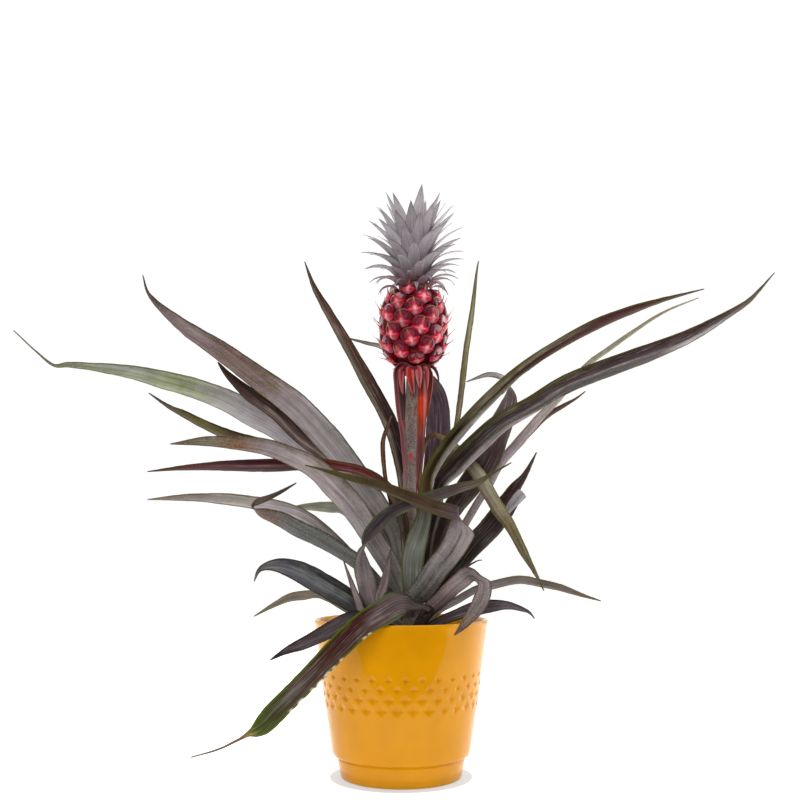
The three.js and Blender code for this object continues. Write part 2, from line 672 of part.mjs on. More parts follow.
// The crown: blades in a spiral, short and curled back at the base, long and upright at the top
function makeCrown() {
  const { degToRad, lerp } = THREE.MathUtils;
  const core = [
    [0, CROWN_BOTTOM], [CROWN_CORE_RADIUS, CROWN_BOTTOM], [CROWN_CORE_RADIUS, CROWN_BOTTOM + 16],
    [CROWN_CORE_RADIUS * 0.6, CROWN_BOTTOM + 34], [0, CROWN_BOTTOM + 50],
  ];
  const parts = [solidOf(lathe(core, 8))];
  const highestFoot = CROWN_TOP - CROWN_LEAF_LENGTHS[1] - CROWN_BOTTOM;
  for (let i = 0; i < CROWN_LEAVES; i++) {
    const rank = i / (CROWN_LEAVES - 1);
    const length = lerp(...CROWN_LEAF_LENGTHS, rank ** 0.7);
    const start = degToRad(lerp(...CROWN_LEAF_RISES, rank ** 0.7));
    const bend = degToRad(lerp(...CROWN_LEAF_BENDS, rank ** 0.6));
    const width = lerp(...CROWN_LEAF_WIDTHS, Math.min(1, rank * 1.6));
    const widths = [width, width, width * 0.75, width * 0.4, 0.8];
    let out = lerp(CROWN_CORE_RADIUS - 2, 2, rank ** 1.2);
    let up = CROWN_BOTTOM + 6 + (highestFoot - 6) * rank;
    const route = [];
    widths.forEach((wide, j) => {
      route.push([0, -out, up, wide, 0]);
      const angle = start - (bend * j) / 3;
      out += (Math.cos(angle) * length) / 4;
      up += (Math.sin(angle) * length) / 4;
    });
    const turned = blade({ route, slim: true }, 0, 0.8);
    parts.push(turned.rotate([0, 0, (i * GOLDEN_ANGLE * 180) / Math.PI]));
  }
  const crown = joined(parts).translate([FRUIT_X, 0, 0]);
  return largestBody(crown.subtract(makeFruit(CLEARANCE)));
}

function material(color, roughness, metalness = 0) {
  return new THREE.MeshStandardMaterial({ color, roughness, metalness });
}

const plant = new THREE.Group();

function addPiece(name, solid, finish) {
  const mesh = new THREE.Mesh(geometryOf(solid), finish);
  mesh.name = name;
  plant.add(mesh);
}

const leafGrey = material(0x7d7372, 0.6);
const leafDark = material(0x463431, 0.5);

addPiece('pot', makePot(), material(0xd9930f, 0.25));
addPiece('soil', makeSoil(), material(0x2b211b, 0.95));
addPiece('stem', makeStem(), material(0x5d5f52, 0.7));
addPiece('fruit_stalk', makeStalk(), material(0x6b5a4e, 0.8));
addPiece('stalk_bracts', makeCollar(), material(0xa84a38, 0.6));
addPiece('fruit', makeFruit(), material(0x9c1b35, 0.35));
addPiece('fruit_crown', makeCrown(), material(0x8d868b, 0.65));

// Every leaf is trimmed where an earlier neighbour's base or the stem already stands.
const standing = [makeStem(CLEARANCE), makeStalk(CLEARANCE)];
for (const leaf of LEAVES) {
  const whole = standing.reduce((rest, neighbour) => rest.subtract(neighbour), blade(leaf));
  addPiece(leaf.name, largestBody(whole), leaf.face > 0 ? leafDark : leafGrey);
  standing.push(blade(leaf, CLEARANCE));
}

export default plant;
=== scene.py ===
import math

import bpy
import numpy as np
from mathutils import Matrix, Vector, noise


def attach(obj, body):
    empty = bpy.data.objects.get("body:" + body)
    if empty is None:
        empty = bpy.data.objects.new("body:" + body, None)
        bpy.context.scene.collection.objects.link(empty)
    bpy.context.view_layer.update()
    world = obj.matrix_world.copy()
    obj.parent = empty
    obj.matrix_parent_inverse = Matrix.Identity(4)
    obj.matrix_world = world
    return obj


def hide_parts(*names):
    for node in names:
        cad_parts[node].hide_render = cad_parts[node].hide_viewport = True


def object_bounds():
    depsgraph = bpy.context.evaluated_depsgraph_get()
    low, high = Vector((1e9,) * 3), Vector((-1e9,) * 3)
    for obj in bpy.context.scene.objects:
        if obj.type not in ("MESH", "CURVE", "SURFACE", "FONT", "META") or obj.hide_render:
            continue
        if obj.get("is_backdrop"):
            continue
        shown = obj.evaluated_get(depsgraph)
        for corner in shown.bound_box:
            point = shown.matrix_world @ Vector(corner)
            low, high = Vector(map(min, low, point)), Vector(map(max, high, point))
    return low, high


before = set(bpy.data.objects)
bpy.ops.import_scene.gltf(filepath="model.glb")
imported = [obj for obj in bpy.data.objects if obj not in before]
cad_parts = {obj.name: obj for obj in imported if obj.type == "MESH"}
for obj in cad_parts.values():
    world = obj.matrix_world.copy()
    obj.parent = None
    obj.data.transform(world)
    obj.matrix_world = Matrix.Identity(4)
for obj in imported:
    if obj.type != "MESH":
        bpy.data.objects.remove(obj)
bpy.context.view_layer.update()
scene = bpy.context.scene

# The room: a white table top inside a tent of white cloth that is lit through its sides and its top. The
# tent is open in front, towards a dimmer room, and the camera stands there, low, looking a little upwards.
# None of it is part of the plant.
MM = 0.001
TABLE_FRONT, TABLE_REACH = -0.2, 6
TABLE_LEVEL = -0.0003
PAINTED_SHADOW_EDGE = (0.0555, 0.0585)  # where the shadow painted round the pot's foot ends on the table
TENT_OPENING = (0.3, 0.36)
OUTSIDE_LIGHT, TENT_LIGHT = 0.12, 1.03


class Field:
    """A value inside a node tree, so that a rule reads as a sum."""

    def __init__(self, nodes, socket):
        self.nodes, self.socket = nodes, socket

    def by(self, operation, *others):
        return self.nodes.field("ShaderNodeMath", self, *others, operation=operation)

    def __add__(self, other):
        return self.by("ADD", other)

    def __sub__(self, other):
        return self.by("SUBTRACT", other)

    def __mul__(self, other):
        return self.by("MULTIPLY", other)

    def __truediv__(self, other):
        return self.by("DIVIDE", other)

    def __pow__(self, other):
        return self.by("POWER", other)

    def flipped(self):
        return self.by("MULTIPLY", -1.0)

    def spread(self, *limits, **settings):
        """The value moved from one span, low and high, to another, and held inside it."""
        return self.nodes.field("ShaderNodeMapRange", self, *limits, **settings)


class Nodes:
    """A node tree that is being filled."""

    def __init__(self, tree):
        self.tree = tree

    def join(self, given, socket):
        """Gives a socket a value, or a link to another node. None leaves it as it is."""
        given = given.socket if isinstance(given, Field) else given
        if isinstance(given, bpy.types.NodeSocket):
            self.tree.links.new(given, socket)
        elif given is not None:
            socket.default_value = given

    def put(self, kind, *inputs, **settings):
        """Adds a node with its first inputs and its settings."""
        node = self.tree.nodes.new(kind)
        for setting, value in settings.items():
            setattr(node, setting, value)
        for socket, given in zip(node.inputs, inputs):
            self.join(given, socket)
        return node

    def field(self, kind, *inputs, output=0, **settings):
        """Adds a node and returns one of its outputs."""
        return Field(self, self.put(kind, *inputs, **settings).outputs[output])


def shade(code):
    """A web colour as the linear colour that the shader takes."""
    parts = [int(code[i : i + 2], 16) / 255 for i in (0, 2, 4)]
    return tuple(p / 12.92 if p <= 0.04045 else ((p + 0.055) / 1.055) ** 2.4 for p in parts) + (1.0,)


class Finish(Nodes):
    """A material with its main shader, and the pattern that goes into it."""

    def __init__(self, name, roughness, **sockets):
        self.material = bpy.data.materials.new(name)
        self.material.use_nodes = True
        super().__init__(self.material.node_tree)
        self.wear(Roughness=roughness, **sockets)

    def wear(self, **sockets):
        """Gives the main shader's sockets their values."""
        for socket, given in sockets.items():
            self.join(given, self.tree.nodes["Principled BSDF"].inputs[socket.replace("_", " ")])

    def place(self):
        return self.field("ShaderNodeTexCoord", output="Object")

    def mark(self, name, output="Fac"):
        """What a mesh keeps at its points under a name."""
        return self.field("ShaderNodeAttribute", output=output, attribute_name=name)

    def stretched(self, place, *scale):
        return self.field("ShaderNodeMapping", place, None, None, scale)

    def grain(self, place, scale, detail, rough=0.5):
        return self.field("ShaderNodeTexNoise", place, None, scale, detail, rough, output="Fac")

    def ramp(self, value, *stops):
        """Colours along a value, from (place, code) stops."""
        node = self.put("ShaderNodeValToRGB", value)
        elements = node.color_ramp.elements
        elements[0].position, elements[1].position = stops[0][0], stops[-1][0]
        elements[0].color, elements[1].color = shade(stops[0][1]), shade(stops[-1][1])
        for at, code in stops[1:-1]:
            elements.new(at).color = shade(code)
        return Field(self, node.outputs["Color"])

    def mix(self, share, first, second, **settings):
        node = self.put("ShaderNodeMix", share, data_type="RGBA", **settings)
        self.join(first, node.inputs["A"])
        self.join(second, node.inputs["B"])
        return Field(self, node.outputs["Result"])

    def toned(self, colour, value, rich=1.0):
        """A colour made lighter or darker, and richer or duller."""
        return self.field("ShaderNodeHueSaturation", 0.5, rich, value, 1.0, colour)

    def relief(self, height, strength, depth):
        """Relief that is too fine for the mesh."""
        node = self.put("ShaderNodeBump", strength, depth)
        self.join(height, node.inputs["Height"])
        self.wear(Normal=node.outputs[0])


table = bpy.data.objects.new("table_top", bpy.data.meshes.new("table_top"))
near, far = [[(side * TABLE_REACH, y, TABLE_LEVEL) for side in (-1, 1)] for y in (TABLE_FRONT, TABLE_REACH)]
table.data.from_pydata(near + far[::-1], [], [(0, 1, 2, 3)])
scene.collection.objects.link(table)
table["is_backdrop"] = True

paint = Finish("white_table", 0.75)
white = paint.ramp(paint.grain(paint.place(), 40.0, 4.0), (0, "f2f2f1"), (1, "f6f6f5"))
from_axis = paint.field("ShaderNodeVectorMath", paint.place(), operation="LENGTH", output="Value")
# Painted shadow: inside a disc round the pot's foot the table is darkened and glows a little less.
white_with_painted_shadow = paint.toned(white, from_axis.spread(*PAINTED_SHADOW_EDGE, 0.22, 1.0))
glow = from_axis.spread(*PAINTED_SHADOW_EDGE, 0.6, 0.66)
paint.wear(Base_Color=white_with_painted_shadow, Emission_Color=white, Emission_Strength=glow)
table.data.materials.append(paint.material)

world = bpy.data.worlds.new("white_tent")
world.use_nodes = True
tent = Nodes(world.node_tree)
way = tent.field("ShaderNodeTexCoord", output="Generated")
backward = tent.field("ShaderNodeSeparateXYZ", way, output="Y")
cloth = tent.tree.nodes["Background"]
cloth.inputs["Color"].default_value = (1, 1, 1, 1)
tent.join(backward.spread(*TENT_OPENING, OUTSIDE_LIGHT, TENT_LIGHT), cloth.inputs["Strength"])
scene.world = world


def soft_box(name, place, target, size, power, mirrored=True):
    """A lamp behind cloth. One that isn't mirrored leaves no highlight on the glaze."""
    lamp = bpy.data.lights.new(name, "AREA")
    lamp.shape = "RECTANGLE"
    lamp.size, lamp.size_y = size
    lamp.energy = power
    holder = bpy.data.objects.new(name, lamp)
    holder.location = place
    holder.visible_camera = False
    holder.visible_glossy = mirrored
    holder.rotation_euler = (Vector(target) - Vector(place)).to_track_quat("-Z", "Y").to_euler()
    scene.collection.objects.link(holder)


soft_box("soft_side_right", (0.75, 0.2, 0.3), (0, 0.2, 0.3), (0.9, 1.2), 7)
soft_box("soft_side_left", (-0.75, 0.2, 0.3), (0, 0.2, 0.3), (0.9, 1.2), 2.5, mirrored=False)
soft_box("soft_top", (0.0, 0.1, 1.1), (0, 0.1, 0), (1.5, 1.2), 13)
soft_box("soft_fill", (-0.5, -2.2, 0.9), (0, 0, 0.2), (1.6, 1.6), 38, mirrored=False)

camera = bpy.data.objects.new("camera", bpy.data.cameras.new("camera"))
camera.location = (-0.00098, -0.8363, 0.1823)
camera.rotation_euler = (math.radians(98.024), 0, 0)
camera.data.lens, camera.data.sensor_width = 45.62, 36
camera.data.clip_start = 0.01
scene.collection.objects.link(camera)
scene.camera = camera
scene.view_settings.view_transform = "Standard"
scene.view_settings.look = "None"

# The pot: earthenware thrown round with a stepped foot and a rolled lip, four staggered rows of diamonds
# pressed into its wall, and a glossy golden glaze inside and out.
POT_HEIGHT = 121.7
RIM_RADIUS = 70.0
SHOULDER = (55.0, 18.4)
BELLY = (62.2, 64.0)
POT_SIDES = 600
DIAMONDS_ROUND = 32
DIAMOND_DEPTH = 1.3
DIAMOND_ROWS = ((81, 6.2, 6), (73.8, 7, 7), (66.4, 9.6, 9), (58.6, 10.6, 9.6))  # height, width, tall
FINE_BAND = (53.5, 85.0)  # the part of the wall that the diamonds are pressed into
FINE_STEP = 0.55
LIP_BEND = 50  # degrees, from which an edge of the pot is shown sharp


class Rule(Nodes):
    """A geometry tree that makes a piece, with one named input for each of its sizes."""

    def __init__(self, name, sizes):
        super().__init__(bpy.data.node_groups.new(name, "GeometryNodeTree"))
        self.sizes = sizes
        for way in ("INPUT", "OUTPUT"):
            self.tree.interface.new_socket("Geometry", in_out=way, socket_type="NodeSocketGeometry")
        for size, value in sizes.items():
            kind = "NodeSocketInt" if isinstance(value, int) else "NodeSocketFloat"
            self.tree.interface.new_socket(size, in_out="INPUT", socket_type=kind)
        entry = self.tree.nodes.new("NodeGroupInput")
        self.geometry = entry.outputs["Geometry"]
        self.size = {size: Field(self, entry.outputs[size]) for size in sizes}

    def named(self, mark):
        return self.field("GeometryNodeInputNamedAttribute", mark, data_type="FLOAT")

    def store(self, geometry, mark, value):
        """Keeps a value at each point under a name."""
        kept = (geometry, None, mark, value)
        return self.field("GeometryNodeStoreNamedAttribute", *kept, data_type="FLOAT", domain="POINT")

    def spot(self, x, y, z):
        return self.field("ShaderNodeCombineXYZ", x, y, z)

    def random(self, low=None, high=None, seed=None):
        """A random number for each point."""
        node = self.put("FunctionNodeRandomValue", None, None, low, high, data_type="FLOAT")
        self.join(seed, node.inputs["Seed"])
        return Field(self, node.outputs[1])

    def parted(self, mark):
        """The part of the mesh that has a mark, and the rest."""
        chosen = self.named(mark).by("GREATER_THAN", 0.5)
        return self.put("GeometryNodeSeparateGeometry", self.geometry, chosen).outputs

    def line(self, count):
        """So many points, and the number of each."""
        points = self.field("GeometryNodeMeshLine", count, None, (0.0, 0.0, 0.0), (0.0, 0.0, 0.0))
        return points, self.field("GeometryNodeInputIndex")

    def copies(self, points, shape, turn=None, scale=None):
        """A copy of a shape on each point."""
        node = self.put("GeometryNodeInstanceOnPoints", points, None, shape)
        self.join(turn, node.inputs["Rotation"])
        self.join(scale, node.inputs["Scale"])
        return node.outputs[0]

    def shape(self, piece, finish, *parts):
        """Joins the parts, makes copies real, sets the finish, and keeps the result as the piece's mesh."""
        if len(parts) > 1:
            together = self.put("GeometryNodeJoinGeometry")
            for part in parts:
                self.join(part, together.inputs[0])
            parts = together.outputs
        real = self.field("GeometryNodeRealizeInstances", parts[0])
        dressed = self.field("GeometryNodeSetMaterial", real, None, finish.material)
        self.join(dressed, self.put("NodeGroupOutput").inputs[0])
        modifier = piece.modifiers.new("rule", "NODES")
        modifier.node_group = self.tree
        for item in self.tree.interface.items_tree:
            if item.in_out == "INPUT" and item.name in self.sizes:
                modifier[item.identifier] = self.sizes[item.name]
        shown = piece.evaluated_get(bpy.context.evaluated_depsgraph_get())
        result = bpy.data.meshes.new_from_object(shown)
        piece.modifiers.remove(modifier)
        piece.data = result


def new_piece(name, points, faces, marks=None, sharp=None):
    """A mesh object from points in millimetres, with its named values for the material."""
    mesh = bpy.data.meshes.new(name)
    mesh.from_pydata((np.asarray(points, float) * MM).tolist(), [], [list(face) for face in faces])
    kinds = {1: ("FLOAT", "value"), 3: ("FLOAT_VECTOR", "vector"), 4: ("FLOAT_COLOR", "color")}
    for mark, values in (marks or {}).items():
        values = np.asarray(values, np.float32)
        kind, field = kinds[values.size // len(points)]
        mesh.attributes.new(mark, kind, "POINT").data.foreach_set(field, values.ravel())
    mesh.update()
    mesh.shade_smooth()
    if sharp:
        mesh.set_sharp_from_angle(angle=math.radians(sharp))
    piece = bpy.data.objects.new(name, mesh)
    scene.collection.objects.link(piece)
    return piece


def tube_faces(rows, sides):
    """Faces of a closed tube: one point, rows of points going round, and one point again."""
    faces, last = [], 1 + rows * sides
    for i in range(sides):
        j = (i + 1) % sides
        faces += [(0, 1 + j, 1 + i), (last, last - sides + i, last - sides + j)]
        for low in range(1, last - sides, sides):
            high = low + sides
            faces.append((low + i, low + j, high + j, high + i))
    return faces


def turned(profile, sides, centre=(0, 0)):
    """Points and faces of a profile turned about an upright axis. The profile starts and ends on it."""
    ring = np.arange(sides) * 2 * math.pi / sides
    points = [(*centre, profile[0][1])]
    for radius, height in profile[1:-1]:
        points += [(centre[0] + radius * math.cos(a), centre[1] + radius * math.sin(a), height) for a in ring]
    points.append((*centre, profile[-1][1]))
    return points, tube_faces(len(profile) - 2, sides)


def wall_radius(height):
    """The pot's outer radius at a height above its shoulder."""
    return float(np.interp(height, [SHOULDER[1], BELLY[1], POT_HEIGHT], [SHOULDER[0], BELLY[0], RIM_RADIUS]))


below, above = np.arange(22, FINE_BAND[0], 4.5), np.arange(FINE_BAND[1], 117, 4)
wall_heights = [*below, *np.arange(*FINE_BAND, FINE_STEP), *above]
foot = [(0, 0), (44, 0), (46.8, 0), (47.6, 0.3), (48.0, 1.0), (49.6, 8.2), (50.9, 13.9), (51.1, 14.8),
    (50.9, 15.3)]
step = [(50.7, 15.9), (51.2, 16.4), (52.9, 16.9), (54.1, 17.8), (54.8, 18.9), (55.2, 20.2)]
wall = [(wall_radius(height), height) for height in wall_heights]
lip = [(69.55, 118), (69.9, 119.6), (69.95, 120.5), (69.5, 121.2), (68.7, 121.65), (67.7, 121.7),
    (66.9, 121.3), (66.3, 120.5), (66.0, 119.2)]
inside = [(64.9, 112), (63.4, 101), (60.8, 82), (58.2, 64), (51.5, 35), (46.5, 10), (44.0, 6.4), (38, 6),
    (0, 6)]
points, faces = turned(foot + step + wall + lip + inside, POT_SIDES)
outside = np.zeros(len(points))
outside[1 : 1 + (len(foot + step + wall) - 1) * POT_SIDES] = 1
pot = new_piece("glazed_pot", points, faces, {"outside": outside})

glaze = Finish("golden_glaze", 0.07, IOR=1.45, Specular_IOR_Level=0.22)
place = glaze.place()
run = glaze.field("ShaderNodeSeparateXYZ", place, output="Z").spread(0.0, POT_HEIGHT * MM)
flow = glaze.ramp(run, (0, "c08108"), (0.13, "c18206"), (0.5, "c68604"), (0.75, "cd8a03"), (0.96, "cb8902"),
    (0.985, "ce8c08"), (1, "cc8c18"))
clouded = glaze.toned(flow, glaze.grain(place, 55.0, 3.0).spread(0.3, 0.7, 0.94, 1.05))
pooled = glaze.mix(glaze.mark("dent"), clouded, shade("fbeccd"), blend_type="MULTIPLY")
glaze.wear(Base_Color=pooled)
glaze.relief(glaze.grain(place, 260.0, 2.0), 0.02, 0.0006)

sizes = {"Diamonds round": DIAMONDS_ROUND, "Depth": DIAMOND_DEPTH * MM}
for number, (height, width, tall) in enumerate(DIAMOND_ROWS):
    sizes |= {f"Height {number}": height * MM, f"Width {number}": width * MM, f"Tall {number}": tall * MM}
rule = Rule("pressed_diamonds", sizes)
size = rule.size
place = rule.put("ShaderNodeSeparateXYZ", rule.field("GeometryNodeInputPosition"))
x, y, z = (Field(rule, socket) for socket in place.outputs)
radius = (x * x + y * y) ** 0.5
turn = x.by("ARCTAN2", y.flipped()) * size["Diamonds round"] / (2 * math.pi) - 0.25
deepest = rule.field("ShaderNodeValue")
for number in range(len(DIAMOND_ROWS)):
    shifted = turn - 0.5 * (number % 2)
    aside = (shifted - shifted.by("ROUND")).by("ABSOLUTE") * radius * (4 * math.pi) / size["Diamonds round"]
    up = (z - size[f"Height {number}"]).by("ABSOLUTE") * 2.0 / size[f"Tall {number}"]
    pyramid = (aside / size[f"Width {number}"] + up).flipped() + 1.0
    deepest = deepest.by("MAXIMUM", pyramid)
deepest = deepest * rule.named("outside")
inward = (deepest * size["Depth"] / radius).flipped()
offset = rule.spot(x * inward, y * inward, 0.0)
pressed = rule.field("GeometryNodeSetPosition", rule.geometry, None, None, offset)
rule.shape(pot, glaze, rule.store(pressed, "dent", deepest))
pot.data.set_sharp_from_angle(angle=math.radians(LIP_BEND))
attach(pot, "root")
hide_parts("pot")

# The potting soil: dark peat with bark in it, filling the pot to a little below its rim, loose and
# crumbly on top. The plant's short stem stands in it.
SOIL_TOP = 99.0
SOIL_EDGE = 62.0
SOIL_SIDES = 96
SWELL, SWELL_LENGTH = 0.6, 9
LUMPS, LUMP_LENGTH = 1.1, 9
CRUMBS = 90000.0  # on a square metre
CRUMB_SIZES = (0.5, 1.9)

across_soil = [60.5, 56, 51, 46, 41, 36, 31, 26, 21, 16, 12, 8, 4]
profile = [(0, 6.6), (40, 6.6), (45, 9), (50, 36), (57.7, 64), (61.2, 90), (SOIL_EDGE, SOIL_TOP - 1.5),
    (SOIL_EDGE - 0.4, SOIL_TOP)]
profile += [(radius, SOIL_TOP + SWELL * math.cos(radius / SWELL_LENGTH)) for radius in across_soil]
profile.append((0, SOIL_TOP + 1))
points, faces = turned(profile, SOIL_SIDES)
top = [float(z > SOIL_TOP - 1.2 and math.hypot(x, y) < SOIL_EDGE - 1) for x, y, z in points]
points = [
    (x, y, z + is_top * LUMPS * noise.fractal((x / LUMP_LENGTH, y / LUMP_LENGTH, 3), 1, 2, 4))
    for (x, y, z), is_top in zip(points, top)
]
soil = new_piece("potting_soil", points, faces, {"top": top})

peat = Finish("dark_peat", 0.95, Specular_IOR_Level=0.25)
coarse = peat.grain(peat.place(), 240.0, 6.0, 0.7)
peat.wear(Base_Color=peat.ramp(coarse, (0.36, "17110d"), (0.55, "32261d"), (0.72, "5a4636")))
peat.relief(coarse, 0.6, 0.0012)

smallest, largest = (crumb * MM for crumb in CRUMB_SIZES)
sizes = {"Crumbs per square metre": CRUMBS, "Smallest": smallest, "Largest": largest, "Seed": 7}
rule = Rule("loose_crumbs", sizes)
whole = rule.named("top").by("GREATER_THAN", 0.9)
scattered = rule.put("GeometryNodeDistributePointsOnFaces", rule.geometry, whole)
rule.join(rule.size["Crumbs per square metre"], scattered.inputs["Density"])
rule.join(rule.size["Seed"], scattered.inputs["Seed"])
lump = rule.field("GeometryNodeMeshIcoSphere", 1.0, 1)
spans = (((0.0, 0.0, 0.0), (6.28, 6.28, 6.28)), ((0.45, 0.35, 0.3), (1.0, 0.9, 0.8)))
tumbled, flattened = (
    rule.field("FunctionNodeRandomValue", *span, data_type="FLOAT_VECTOR") for span in spans
)
grown = rule.random(rule.size["Smallest"], rule.size["Largest"], rule.size["Seed"])
full = rule.field("ShaderNodeVectorMath", flattened, None, None, grown, operation="SCALE")
rule.shape(soil, peat, rule.geometry, rule.copies(scattered.outputs[0], lump, tumbled, full))
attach(soil, "root")
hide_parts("soil")

# The stem: short, thick and woody, standing in the soil and wrapped all round by the dry bases of old
# leaves, which overlap each other upwards.
STEM_X = 8.0
STEM_PROFILE = ((80, 13), (100, 14), (125, 13), (148, 10), (166, 6.5), (168, 5))  # height, radius
STEM_SIDES = 60
SHEATHS_ROUND = 5
SHEATH_HEIGHT, SHEATH_TWIST = 11, 25
OVERLAP, SHRINK, BULGE = 0.07, 0.05, 0.03  # shares of the stem's radius

bottom, top = STEM_PROFILE[0][0], STEM_PROFILE[-1][0]
heights = np.linspace(bottom, top, top - bottom + 1)
profile = [(0, bottom)] + [(float(np.interp(h, *zip(*STEM_PROFILE))), float(h)) for h in heights] + [(0, top)]
points, faces = turned(profile, STEM_SIDES)
wrapped = []
for x, y, z in points:
    angle = math.atan2(y, x) * SHEATHS_ROUND / (2 * math.pi)
    overlap, round_way = (z / SHEATH_HEIGHT + angle) % 1, (angle - z / SHEATH_TWIST) % 1
    grow = 1 + (OVERLAP * overlap - SHRINK + BULGE * math.sin(math.pi * round_way)) * (math.hypot(x, y) > 1)
    wrapped.append((STEM_X + x * grow, y * grow, z))
stem = new_piece("leafy_stem", wrapped, faces, sharp=40)

bark = Finish("dry_leaf_bases", 0.7)
fibre = bark.grain(bark.stretched(bark.place(), 900.0, 900.0, 60.0), 1.0, 3.0)
bark.wear(Base_Color=bark.ramp(fibre, (0.3, "3a342b"), (0.72, "87816f")))
bark.relief(fibre, 0.5, 0.0004)
stem.data.materials.append(bark.material)
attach(stem, "root")
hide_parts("stem")

# The leaves: long stiff straps, channelled along their middle, that grow in a rosette from the stem and
# arch over. The upper side is dark and satiny, the underside grey with a waxy bloom, and the edge olive.

